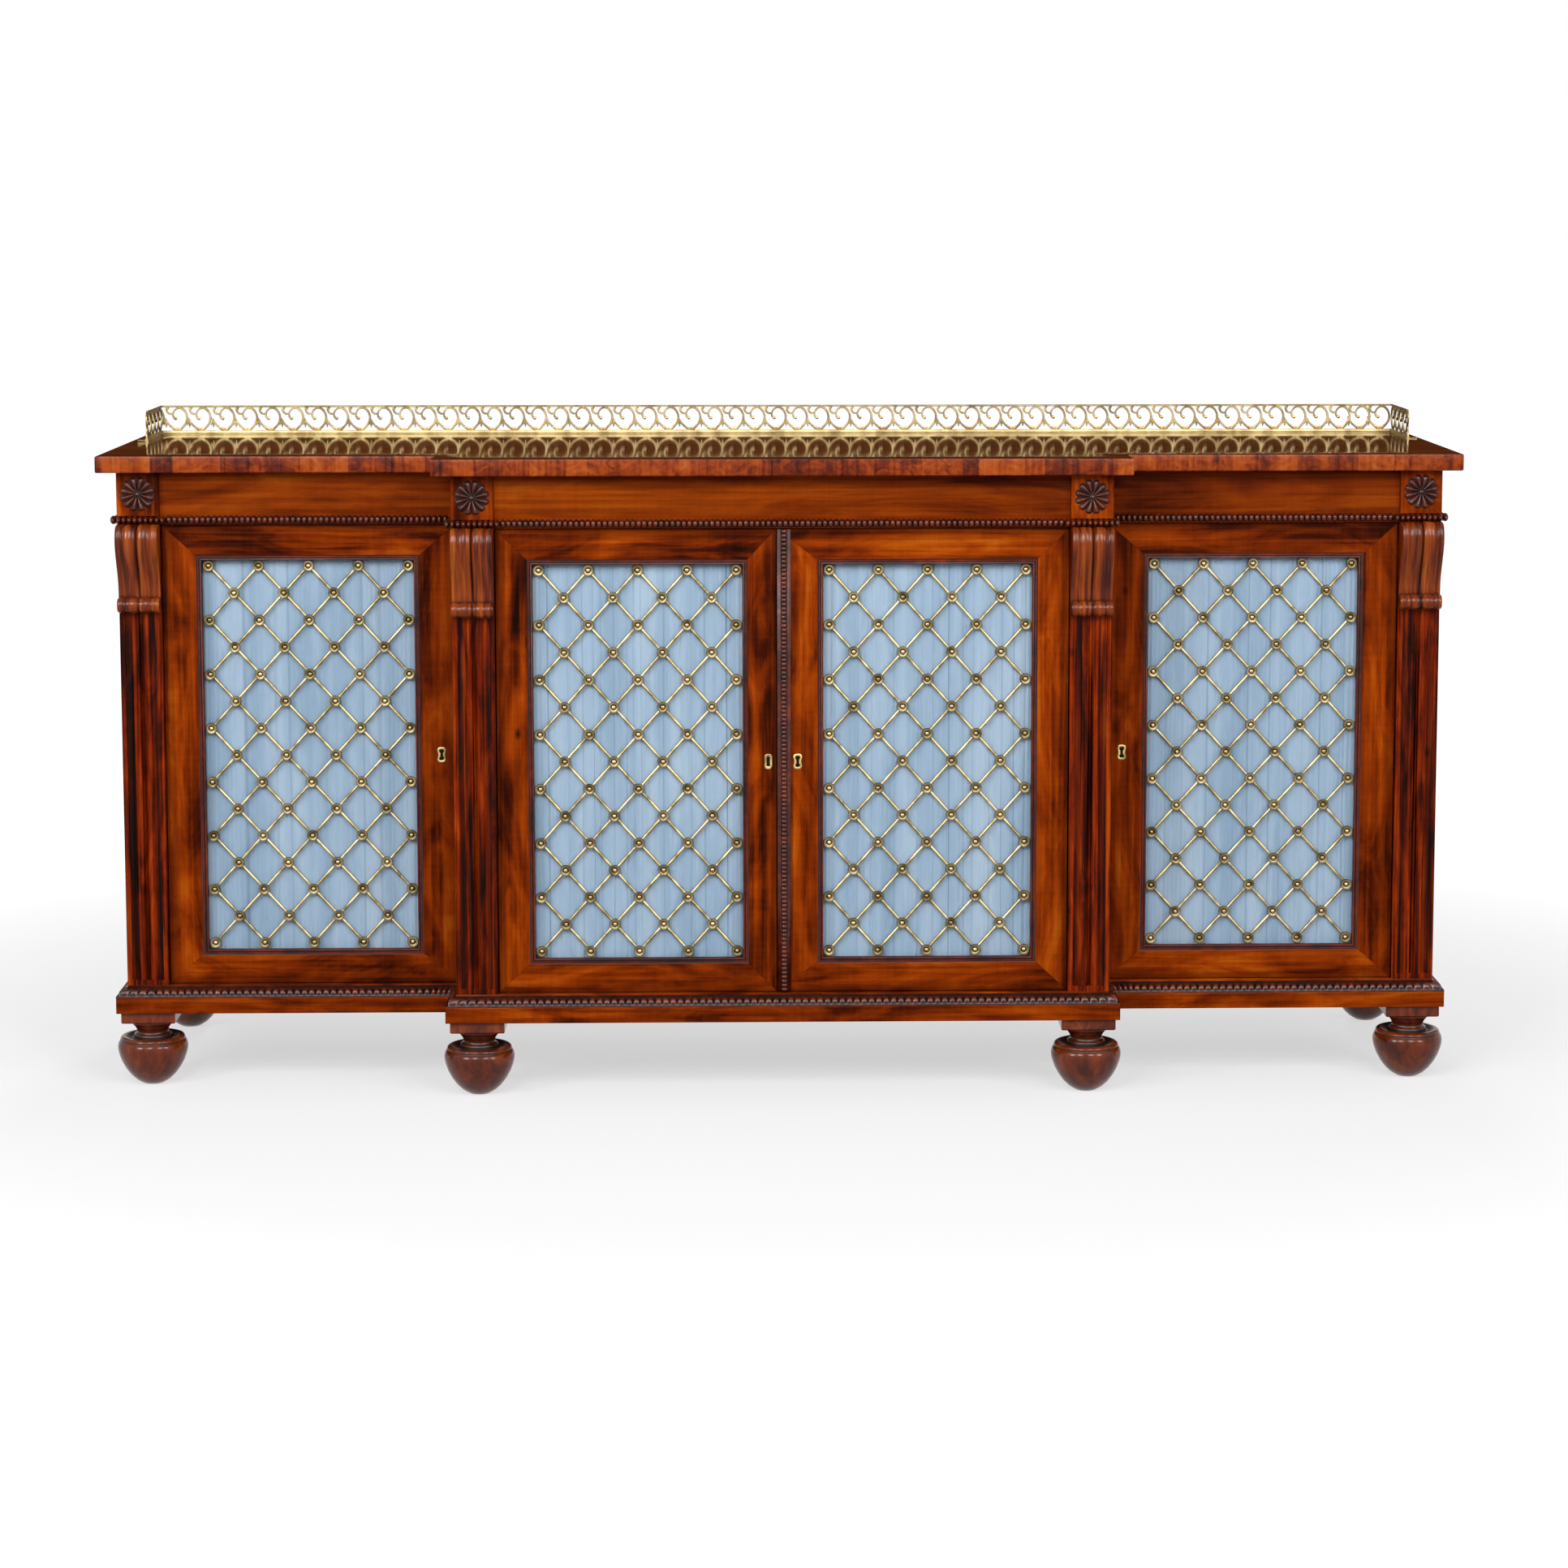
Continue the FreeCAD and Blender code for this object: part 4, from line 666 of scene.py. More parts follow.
# Depth of the sunk panel at a share across: a sharp ridge in the middle, a broad reed, and a
# hollow beside the fillet.
def reedDepth(share):
    u = np.abs(share)
    reed = 0.12 + 0.95 * (1 - crest((u - 0.37) / 0.27))
    hollow = 0.72 + 0.28 * np.sin(np.pi * np.clip((u - 0.63) / 0.37, 0, 1))
    ridge = 0.55 + 0.5 * np.clip(u / 0.09, 0, 1)
    return np.where(u < 0.1, ridge, np.where(u < 0.63, np.minimum(reed, 1.0), hollow))


# A height field across and up: the reeds' depth, stopped above by the corbel and below by a
# sloping sill, with both front edges eased.
def makePilaster(name):
    look = pilaster
    low, high = corner("pilaster_" + name)
    half, edge = (high[0] - low[0]) / 2, look["eased"]
    inner = half - look["fillet"]
    side = np.array([inner + look["wall"], half - edge, half, half])
    across = np.concatenate([-side[::-1], np.linspace(-inner, inner, 65), side])
    sill, stop = low[2] + look["sill"], corner("corbels")[0][2] + look["above"]
    near, far = look["lip"]
    up = np.concatenate([[low[2], low[2], sill], np.linspace(sill + near, sill + far, 8),
                         np.linspace(sill + look["slope"], stop, 6),
                         [stop + look["stop"], high[2], high[2]]])
    x, z = np.meshgrid(across, up)
    deep = np.where(np.abs(x) <= inner + 1e-6, reedDepth(x / inner) * look["deep"], 0)
    room = np.minimum((z - sill) * 10, (stop + 0.8 * look["stop"] - z) * 2)    # steep end walls
    sunk = np.minimum(deep, np.maximum(room, 0))
    front = low[1] + sunk + edge * (np.abs(x) > half - edge / 2)
    # Painted shade: darker where the reeds are sunk deepest.
    dark = np.clip(sunk / look["deep"] - 0.5, 0, 1) * 1.1
    for field, value in ((front, high[1]), (dark, 0)):      # the rim of the grid lies at the back
        field[[0, -1]] = value
        field[:, [0, -1]] = value
    grid = spread(x + (low[0] + high[0]) / 2, front, z)
    makePiece("pilaster_reeded_" + name, [shell(grid, caps=("rim",), hollow=dark)],
              [wood["streakedZ"]], "carcass", ["pilaster_" + name], 40)


# Side view of a corbel in millimetres in front of the pilaster and above its lower edge: the
# long double curve from the top down, and the roll below it.
corbel = {"curve": [(19.0, 124.2), (24.0, 121.2), (27.6, 115.4), (30.0, 107), (30.2, 97.5),
                    (27.2, 86), (21.2, 72.5), (14.2, 59), (9.0, 47.5), (6.2, 38), (5.0, 28),
                    (4.2, 19)],
          "roll": [(5.4, 19.4), (8.0, 21.8), (12.0, 22.8), (16.4, 21.6), (20.2, 17.6),
                   (21.6, 11.6), (19.4, 5.8), (13.8, 1.9), (6.6, 0.4), (0.2, 0.2)],
          "centre": (11.0, 11.4), "relief": 4.8, "longer": 1.035, "sunk": 0.2 * mm}


# How far the face stands back at a share across: a V in the middle, a broad reed, a fine groove
# and an outer bead.
def corbelDepth(share):
    u = np.abs(share)
    reed = 1 - crest((u - 0.33) / 0.315)
    bead = 0.8 * (1 - crest((u - 0.825) / 0.185))
    return np.where(u < 0.638, np.where(u < 0.05, 1.15 - 4 * u, reed), bead)


# The side view carried across the width, each point moved back along its normal by the depth.
def makeCorbels():
    look = corbel
    low, high = corner("corbels")
    curve, roll = through(look["curve"], 44), through(look["roll"], 22)
    line = np.concatenate([curve, roll])
    along = np.gradient(curve, axis=0)
    normal = np.concatenate([np.stack([-along[:, 1], along[:, 0]], -1), roll - look["centre"]])
    normal /= np.linalg.norm(normal, axis=1)[:, None]
    normal[:, 0] = np.abs(normal[:, 0])
    share = np.concatenate([[-1, -0.995], np.linspace(-0.985, 0.985, 71), [0.995, 1]])
    depth = corbelDepth(share)
    depth[[0, -1]] = 0.8
    room = np.concatenate([np.linspace(1, 0.6, len(curve)), np.full(len(roll), 0.62)])
    place = line[:, None] - (depth * room[:, None] * look["relief"])[..., None] * normal[:, None]
    place = np.maximum(place, [0.2, 0.0]) * mm
    height = high[2] - (high[2] - low[2] - place[..., 1]) * look["longer"]
    height = np.minimum(height, high[2])
    # Painted shade: darker in the grooves, and darkest in the quirk between the curve and the
    # roll.
    dark = np.clip((depth[None] - 0.45) * 1.3, 0, 0.8) * np.ones((len(line) + 2, 1))
    dark[len(curve) - 1:len(curve) + 2] = 0.9       # the quirk between the curve and the roll
    shells = []
    for name in columns:
        x, face = columnPlace(name)
        across = x + share * columnWidth / 2
        grid = spread(across, face - place[..., 0], height)
        back = spread(across, face + look["sunk"], high[2])
        foot = back * [1, 1, 0] + [0, 0, grid[-1, 0, 2]]
        grid = np.concatenate([back[None], grid, foot[None]])
        shells.append(shell(grid, closeRows=True, caps=("left", "right"), hollow=dark))
    makePiece("corbels_carved", shells, [wood["carvedZ"]], "carcass", ["corbels"],
              45)


patera = {"petals": 12, "rise": 4.7 * mm, "radius": 25 * mm, "boss": 0.165, "block": 5 * mm}


# A relief on rings: each petal is a drop that widens outwards to a round end, with a narrow
# valley between two petals and a small boss in the middle.
def makePaterae():
    look = patera
    low, high = corner("paterae")
    turn = circle(look["petals"] * 12)
    local = (turn * look["petals"] / (2 * np.pi)) % 1 * 2 - 1
    rings = np.array([0, 0.07, 0.12, 0.15, 0.17, 0.26, 0.4, 0.55, 0.7, 0.82, 0.9, 0.95, 0.985,
                      1])[:, None]
    reach = rings * look["radius"] * (0.84 + 0.16 * crest(local))
    rise = np.interp(rings, [0.16, 0.3, 0.55, 0.8, 0.92, 1.0], [0.3, 0.55, 0.9, 1.0, 0.75, 0.1])
    boss = np.maximum(0.8 * crest(rings / look["boss"]), 0.15)
    height = np.where(rings < 0.16, boss, rise * (1 - np.abs(local) ** 1.5))
    # Painted shade: darker where the relief is low, in the valleys between the petals and round
    # the boss.
    dark = np.clip(1.0 - 1.35 * height, 0, 0.95)
    grid = facing(reach, -height * look["rise"], turn)
    grid = np.concatenate([grid, grid[-1:] * [1, 0, 1]])
    dark = np.concatenate([dark, dark[-1:]])
    shells = []
    for name in columns:
        x, face = columnPlace(name)
        place = [x, face - look["block"], (low[2] + high[2]) / 2]
        shells.append(shell(grid + place, closeColumns=True, caps=("last",), hollow=dark))
    makePiece("paterae_carved", shells, [wood["beadedX"]], "carcass", ["paterae"],
              50)


for name in columns:
    makePilaster(name)
makeCorbels()
makePaterae()
print("pilasters, corbels and paterae made")


# Turning of a foot from the floor up, as (radius, height) in millimetres, and its hollows, where
# shade is painted, as (radius, height, width, darkness).
foot = {"turning": [(13.8, 0), (15.8, 0.5), (25.2, 6.2), (33.2, 14.0), (40.0, 23.4), (45.4, 33.5),
                    (48.9, 43.6), (50.4, 50.8), (50.5, 56.0), (49.6, 60.4), (48.0, 63.2),
                    (46.6, 64.2), (46.2, 65.0), (46.7, 66.0), (46.4, 68.0), (44.8, 69.7),
                    (42.0, 70.4), (38.5, 70.0), (34.5, 69.0), (31.0, 68.1), (28.8, 67.8),
                    (27.2, 68.4), (27.0, 69.6), (27.4, 71.2), (26.9, 72.9), (25.4, 74.0),
                    (23.8, 74.6), (22.8, 75.8), (22.6, 78.0), (23.5, 81.0), (25.7, 84.4),
                    (28.6, 87.4), (30.8, 89.6), (31.6, 91.2), (31.6, 94.8)],
        "hollows": [(31, 68, 11, 1.6), (46.2, 65, 2, 1.0), (22.4, 77, 7, 0.8)],
        "pad": 78 * mm, "eased": 1.6 * mm, "back": 30 * mm}


# The turning about each foot's axis, with painted shade by its nearness to a hollow, and the
# square pad.
def makeFeet():
    outline = np.array(foot["turning"])
    dark = np.max([(1 - np.hypot(*(outline - spot).T) / wide) * strength
                   for *spot, wide, strength in foot["hollows"]], 0)
    dark = np.clip(dark, 0, 0.92)[:, None]
    outline = outline * mm
    half, low, high = foot["pad"] / 2, outline[-1, 1], corner("front_feet")[1][2]
    rear = (corner("rear_feet")[0][1] + corner("rear_feet")[1][1]) / 2
    places = [columnPlace(name) for name in columns]
    spots = {"front_feet": [(x, face + foot["back"]) for x, face in places],
             "rear_feet": [(x, rear) for x, face in places[::3]]}
    for node, spots in spots.items():
        shells = []
        for x, y in spots:
            shells.append(solid(turned(outline, (x, y, 0)), dark))
            shells.append(easedBox((x - half, y - half, low), (x + half, y + half, high),
                                   foot["eased"]))
        makePiece(node + "_turned", shells, [wood["turnedZ"]], "carcass", [node],
                  38)


makeFeet()
print("feet made")


# One scroll of the gallery and what joins it, each a line from the foot of the scroll in
# millimetres along and above the base rail, with the width of the bar in shares of "bar", the
# stations along it, and its thickness, which differs so that no two faces lie in one plane.
gallery = {"bar": 2.8, "thick": 2.6, "base": 5.2, "tall": 1.11, "half": 5 * mm, "plate": 3 * mm,
           "firstReturn": 29, "lastReturn": 17, "free": 12, "gap": 0.6, "under": 43.8,
           "ball": {"radius": 2.3, "at": (-3.0, 17.0), "points": 10},
           # screw tabs: from the middle plane of a return inwards, length along it, thickness
           "tab": (1.5 * mm, 13.5 * mm, 8 * mm, 1.5 * mm), "eased": 0.4 * mm,
           # feet of the scrolls along the back, by number, in millimetres from the left end:
           # the castings were fitted by hand and their spacing wanders
           "numbers": [0, 1, 2, 3, 6, 10, 15, 19, 24, 28, 33, 37, 42, 46, 48, 51, 53, 55],
           "feet": [25.8, 61.7, 98.4, 133.4, 239.9, 375.1, 545.4, 681.8, 852.0, 983.2, 1150.0,
                    1284.4, 1450.3, 1586.6, 1655.8, 1759.0, 1828.2, 1890.0]}
scroll = {
    "ring": ([(-3.6, 16.6), (-6.6, 19.4), (-7.2, 23.0), (-4.6, 28.2), (0.2, 31.4), (5.2, 31.6),
              (10.4, 28.2), (13.8, 22.6), (14.6, 16.8), (12.4, 10.2), (7.2, 4.6), (1.5, 1.4)],
             [1.3, 0.95, 0.85, 0.95, 1.2, 1.3, 1.05, 1.1, 1.25, 1.05, 1.2, 2.0], 28, 2.44),
    "leaf": ([(-19.4, 17.4), (-16.4, 11.8), (-11.4, 6.6), (-5.6, 3.0), (-1.0, 1.4)],
             [0.7, 1.1, 1.0, 1.3, 2.0], 9, 2.3),
    "stub": ([(-15.0, 33.4), (-16.2, 29.6), (-15.2, 26.0), (-12.2, 23.4), (-7.0, 23.6)],
             [2.0, 1.5, 1.1, 1.0, 0.8], 10, 2.2),
    "sprig": ([(-17.6, 14.2), (-17.6, 9.4), (-17.6, 4.4)], [1.5, 1.3, 0.3], 4, 2.1),
    "sprigLeft": ([(-18.4, 13.0), (-20.4, 10.2), (-21.6, 7.4)], [1.1, 1.0, 0.25], 4, 1.9),
    "sprigRight": ([(-16.8, 13.0), (-14.8, 10.2), (-13.6, 7.4)], [1.1, 1.0, 0.25], 4, 2.0),
    "foot": ([(-5.6, 0.5), (0.0, 1.5), (5.6, 0.5)], [0.5, 1.6, 0.5], 5, 2.8)}
# the scroll that ends a return at the front, with nothing beside it
freeScroll = ([(11.4, 33.8), (6.0, 30.5), (2.8, 25.0), (3.4, 18.6), (6.4, 12.4), (5.2, 6.0),
               (2.2, 1.0), (1.9, -0.5)], [1.6, 1.3, 1.2, 1.1, 1.2, 1.4, 1.8, 1.9], 18, 2.5)


# A flat bar with eased edges along a smooth line in the XZ plane: a section of eight points is
# set square to the line at each station and scaled by the width there.
def flatBar(line, widths, count, thick):
    line = through(np.array(line, float) * [1, gallery["tall"]], count)
    half = np.interp(np.linspace(0, 1, count), np.linspace(0, 1, len(widths)), widths)
    half = half * gallery["bar"] / 2
    way = np.gradient(line, axis=0)
    way /= np.linalg.norm(way, axis=1)[:, None]
    side = np.stack([-way[:, 1], way[:, 0]], -1)
    section = np.array([(-1, -0.5), (-0.6, -1), (0.6, -1), (1, -0.5), (1, 0.5), (0.6, 1),
                        (-0.6, 1), (-1, 0.5)])
    flat = line[:, None] + section[:, :1] * half[:, None, None] * side[:, None]
    return spread(flat[..., 0], section[:, 1] * thick / 2, flat[..., 1])


# One straight run along X from 0, its middle plane at Y = 0: two rails, and the bars of each
# scroll from its foot. Bars stop at both ends of the run.
def galleryRun(length, feet, free):
    look = gallery
    rails = [([(-2.6, 0), (-2.6, 1.2), (-1.8, 1.8), (-1.8, 3.4), (-1.3, 4.2), (-1.3, 5.4),
               (1.3, 5.4), (1.3, 4.2), (1.8, 3.4), (1.8, 1.8), (2.6, 1.2), (2.6, 0)], 0.0),
             ([(-1.2, 41.4), (-1.9, 42.0), (-1.9, 43.3), (-1.3, 44), (1.3, 44), (1.9, 43.3),
               (1.9, 42.0), (1.2, 41.4)], free * 0.8)]
    shells = []
    for outline, start in rails:
        y, z = np.array(outline).T
        x = np.array([start, length])[:, None]
        shells.append(solid(spread(x, y, z) * mm))
    ball = look["ball"]
    reach, deep = np.array([[0.5, 1, 1, 0.5], [-0.75, -0.45, 0.45, 0.75]])[..., None]
    ball = facing(ball["radius"] * reach, deep * look["thick"], circle(ball["points"])) + [
        ball["at"][0], 0, ball["at"][1] * look["tall"]]
    parts = [flatBar(*part) for part in scroll.values()] + [ball]
    bars = [part + [place, 0, look["base"]] for place in feet for part in parts]
    if free:
        bars.append(flatBar(*freeScroll) + [0, 0, look["base"]])
    else:       # what the corner leaves of the scroll before the first
        bars.append(parts[0] + [2 * feet[0] - feet[1], 0, look["base"]])
    gap = look["gap"]
    return shells + [solid(np.clip(bar, [gap, -9, 0], [length - gap, 9, look["under"]]) * mm)
                     for bar in bars if bar[..., 0].max() > gap]


# A run along the back, and one turned to lie along Y on each return, with a screw tab at its
# front end.
def makeGallery():
    look = gallery
    low, high = corner("gallery")
    top, half, plate = topHigh[2], endHalf + look["half"], look["plate"]
    feet = np.interp(np.arange(look["numbers"][-1] + 1), look["numbers"], look["feet"])
    back = np.array([-half, high[1] - plate / 2, top])
    run = galleryRun(2 * half / mm, feet, 0)
    shells = [(points + back, *rest) for points, *rest in run]
    length = (high[1] - low[1] - plate) / mm
    feet = np.linspace(look["firstReturn"], length - look["lastReturn"], 4)
    near, far, long, thick = look["tab"]
    for side in (-1, 1):
        x = side * (half - plate / 2)
        for points, *rest in galleryRun(length, feet, look["free"]):
            shells.append((points[:, [1, 0, 2]] + [x, low[1], top], *rest))
        left, right = sorted([x + side * near, x + side * far])
        shells.append(easedBox((left, low[1], top), (right, low[1] + long, top + thick),
                               look["eased"]))
    makePiece("gallery_pierced", shells, [galleryBrass], "carcass", ["gallery"],
              40)


makeGallery()
print("gallery made")


# Section of the sight moulding, (out from the sight, back from the door's face) in millimetres:
# a flat bead, a quirk, and an inner bead that rolls back to the grille.
moulding = {"section": [(8.0, 9.0), (8.0, 0.3), (7.3, 0.9), (6.7, 0.9), (6.2, 0.1), (5.4, -0.5),
                        (4.6, -0.5), (4.0, 0.0), (3.7, 1.2), (3.4, 2.0), (2.9, 2.0), (2.5, 1.4),
                        (1.7, 1.0), (0.9, 1.2), (0.3, 2.0), (0.0, 3.2), (0.0, 9.0)],
            # Painted shade at each point of the section, darkest in the quirks.
            "dark": [0, 0.4, 0.9, 0.9, 0.2, 0, 0, 0, 0.6, 0.95, 0.9, 0.2, 0, 0, 0.3, 0.5, 0.6]}


# The section carried round the four sides of the sight opening with mitred corners.
def makeMoulding(door):
    x0, x1, z0, z1 = sights[door]
    low, high = corner(door + "_moulding")
    section = np.array(moulding["section"]) * mm
    section[:, 1] = np.minimum(section[:, 1] + corner(door + "_frame")[0][1], high[1])
    section[:, 1] = np.maximum(section[:, 1], low[1])
    grid = carried([(x0, z0), (x1, z0), (x1, z1), (x0, z1)], section, closed=True)[0]
    makePiece(door + "_sight_beading",
              [shell(grid[..., [0, 2, 1]], closeRows=True, closeColumns=True,
                     hollow=moulding["dark"])],
              [wood["mouldingX"]], door, [door + "_moulding"], 50)


# A rosette's rings are its boss, a sunk bed, a flat ring and its wall.
grille = {"rod": 4.3 * mm, "thick": 2.15 * mm, "across": 4, "rows": 14, "waist": 0.62,
          "rosette": 8.3 * mm, "rise": 2.3 * mm, "gap": 0.3 * mm, "points": 14,
          "rings": [0.22, 0.42, 0.66, 0.92, 1.0], "heights": [0.95, 0.2, 0.85, 0.8, 0.0],
          # Darkness by ring: a darker bronze tone all over, with painted shade deep in the sunk
          # bed and at the foot of the wall.
          "dark": [0.3, 0.95, 0.5, 0.55, 0.95]}


# Half round rod along a line of points in the XZ plane. Its section swells between two
# crossings and narrows towards them.
def rod(points, swell, front):
    way = points[-1] - points[0]
    way = way / np.linalg.norm(way)
    turn = np.radians(np.linspace(0, 180, 7))
    across = np.cos(turn) * grille["rod"] / 2 * swell[:, None]
    flat = points[:, None] + across[..., None] * np.array([-way[1], way[0]])
    deep = front + grille["thick"] * (1 - np.sin(turn) * swell[:, None])
    return solid(spread(flat[..., 0], deep, flat[..., 1]))


# Two layers of rods on the diagonals of a lattice, and a rosette on each crossing.
def makeGrille(door):
    look = grille
    x0, x1, z0, z1 = sights[door]
    back = corner(door + "_grille")[1][1]
    margin, thick = look["rosette"] + look["gap"], look["thick"]
    size = np.array([x1 - x0 - 2 * margin, z1 - z0 - 2 * margin])
    pitch = size / [2 * look["across"], look["rows"]]
    low = np.array([x0, z0]) + margin
    high = low + size
    shells = []
    for rising, front in ((1, back - 2 * thick), (-1, back - thick)):
        way = pitch * [1, rising]
        for start in range(-look["rows"], 2 * look["across"] + 1, 2):
            first = low + pitch * [start, 0 if rising > 0 else look["rows"]]
            reach = np.sort(np.stack([(low - first) / way, (high - first) / way]), 0)
            enter, leave = reach[0].max(), reach[1].min()
            if leave - enter < 0.2:     # a line that only touches a corner of the lattice
                continue
            steps = (np.arange(-1, 16)[:, None] + [0.12, 0.25, 0.4, 0.6, 0.75, 0.88]).ravel()
            steps = steps[(steps > enter + 0.06) & (steps < leave - 0.06)]
            steps = np.concatenate([[enter], steps, [leave]])
            swell = look["waist"] + (1 - look["waist"]) * np.abs(np.sin(np.pi * steps)) ** 0.7
            shells.append(rod(first + way * steps[:, None], swell, front))
    rings, heights, dark = (np.array(look[key])[:, None] for key in ("rings", "heights", "dark"))
    form = facing(rings, -heights, circle(look["points"]))
    form = form * [look["rosette"], look["rise"], look["rosette"]]
    row, column = np.meshgrid(np.arange(look["rows"] + 1), np.arange(2 * look["across"] + 1),
                              indexing="ij")
    even = (row + column) % 2 == 0
    for x, z in low + pitch * np.stack([column[even], row[even]], -1):
        shells.append(solid(form + [x, back - 2 * thick, z], dark))
    makePiece(door + "_trellis", shells, [grilleBrass], door, [door + "_grille"],
              50)


silk = {"columns": 420, "rows": 20, "inset": 0.4 * mm, "free": 0.1 * mm, "lean": 0.7 * mm,
        # crease: strength of the painted shade in the creases
        "sway": 0.5 * mm, "fine": 6.1 * mm, "crease": 1.8,
        # mean width of a fold, depth in shares of the room, width of the crease, and the seed
        "folds": {"door_left": (34 * mm, 0.22, 0.12, 11),
                  "door_centre_left": (21 * mm, 0.45, 0.05, 5),
                  "door_centre_right": (22 * mm, 0.45, 0.05, 8),
                  "door_right": (26 * mm, 0.3, 0.07, 4)}}


# Gathered silk as a height field over width and height: each fold swells like a flat wave and
# meets the next in a narrow crease, and the creases wander a little from top to bottom.
def makeSilk(door):
    low, high = corner(door + "_silk")
    pitch, amount, narrow, seed = silk["folds"][door]
    rng = np.random.default_rng(seed)
    width = high[0] - low[0]
    count = round(width / pitch)
    wide = rng.uniform(0.45, 1.6, count)
    folds = np.append(0, np.cumsum(wide / wide.sum())) * width
    x = np.linspace(0, width, silk["columns"])
    z = np.linspace(low[2], high[2], silk["rows"])
    up = np.linspace(-1, 1, silk["rows"])[:, None]
    lean = rng.normal(0, silk["lean"], count + 1)
    sway = rng.uniform(0, 2 * np.pi, count + 1)
    lines = folds + lean * up + silk["sway"] * np.sin(2.6 * up + sway)
    lines[:, 0], lines[:, -1] = 0, width
    place = np.stack([np.interp(x, line, np.arange(count + 1)) for line in lines])
    k = np.clip(place.astype(int), 0, count - 1)
    share = place - k
    deep, tilt = rng.uniform(0.5, 1.0, count)[k], rng.uniform(0.25, 0.75, count)[k]
    away = np.minimum(share, 1 - share)
    wave = np.where(share < tilt, share / tilt, (1 - share) / (1 - tilt))
    wave = 0.55 * wave * wave * (3 - 2 * wave) + 0.45 * np.clip(away / narrow, 0, 1) ** 0.6
    fine = 0.05 * np.sin(2 * np.pi * x / silk["fine"] + 1.5 * np.sin(2 * up + sway[0]))
    depth = np.clip(0.1 + amount * wave * deep + fine, 0, 1)
    y = high[1] - silk["inset"] - depth * (high[1] - low[1] - silk["inset"] - silk["free"])
    grid = spread(x + low[0], y, z[:, None])
    # Painted shade in the creases, stronger in some than in others.
    strength = rng.uniform(0.05, 1.0, count + 1)
    strength = np.where(share < 0.5, strength[k], strength[k + 1])
    dark = np.clip(1 - away / narrow, 0, 1) ** 1.5 * silk["crease"] * amount * strength
    piece = makePiece(door + "_silk_gathered", [shell(grid, hollow=dark)], [silkBlue], door,
                      [door + "_silk"], 75, outward=False)


# Outlines of the brass plates and keyholes as (half width, half height) in millimetres from the
# middle, a quarter of each; the waisted ones stand on the doors with a lock.
keyhole = {"plain": ([(5.2, 0), (5.4, 3.5), (5.4, 6.5), (4.6, 9.0), (2.6, 10.6), (0, 11)],
                     [(2.3, 0), (2.4, 2.5), (2.4, 4.5), (2.3, 6.0), (1.4, 6.9), (0, 7.2)]),
           "waisted": ([(4.9, 0), (5.3, 3.0), (6.0, 5.6), (5.8, 8.4), (3.8, 10.5), (0, 11)],
                       [(1.9, 0), (2.0, 2.6), (3.3, 4.2), (3.5, 6.0), (2.2, 7.8), (0, 8.2)]),
           "centreIn": 29 * mm, "wingIn": 22 * mm, "floor": [0.9 * mm, 0.7 * mm]}


# The whole outline from a quarter of it, as (x, z) points in metres.
def mirrored(quarter):
    line = through(quarter, 14)
    line = np.concatenate([line, line[-2::-1] * [-1, 1]])
    return np.concatenate([line, line[-2:0:-1] * [1, -1]]) * mm


# Plate: rings from the back over the rim to the keyhole and down its wall, with a floor that
# painted shade makes dark.
def makeKeyhole(door, node, spot):
    plate, hole = keyhole["plain" if door == "door_centre_left" else "waisted"]
    outer, inner = mirrored(plate), mirrored(hole)
    rings = [(outer, 1.0), (outer, -0.1), (outer * 0.94, -0.35), (outer * 0.6 + inner * 0.4, -0.3),
             (inner * 1.06, -0.3), (inner, -0.1), (inner, 1.2)]
    grid = np.array([np.insert(line, 1, deep * mm, 1) + spot for line, deep in rings])
    floor = grid[[-1, -2]]
    floor[..., 1] = spot[1] + np.array(keyhole["floor"])[:, None]
    shells = [shell(grid, closeRows=True, closeColumns=True), solid(floor, 1.0)]
    makePiece(door + "_keyhole_plate", shells, [hardwareBrass], door, node, 40)


# Screw places are shares of the width and height of the case. A head is three rings of
# (radius, depth).
lock = {"long": 34 * mm, "thick": 9 * mm, "free": 0.3 * mm, "eased": 0.3 * mm, "inside": 0.1 * mm,
        "screws": [(x, z) for x in (0.15, 0.85) for z in (0.12, 0.88)], "points": 16,
        "head": np.array([[2.6, 2.6, 2.0], [-0.5, 0.0, 0.15]]) * mm}


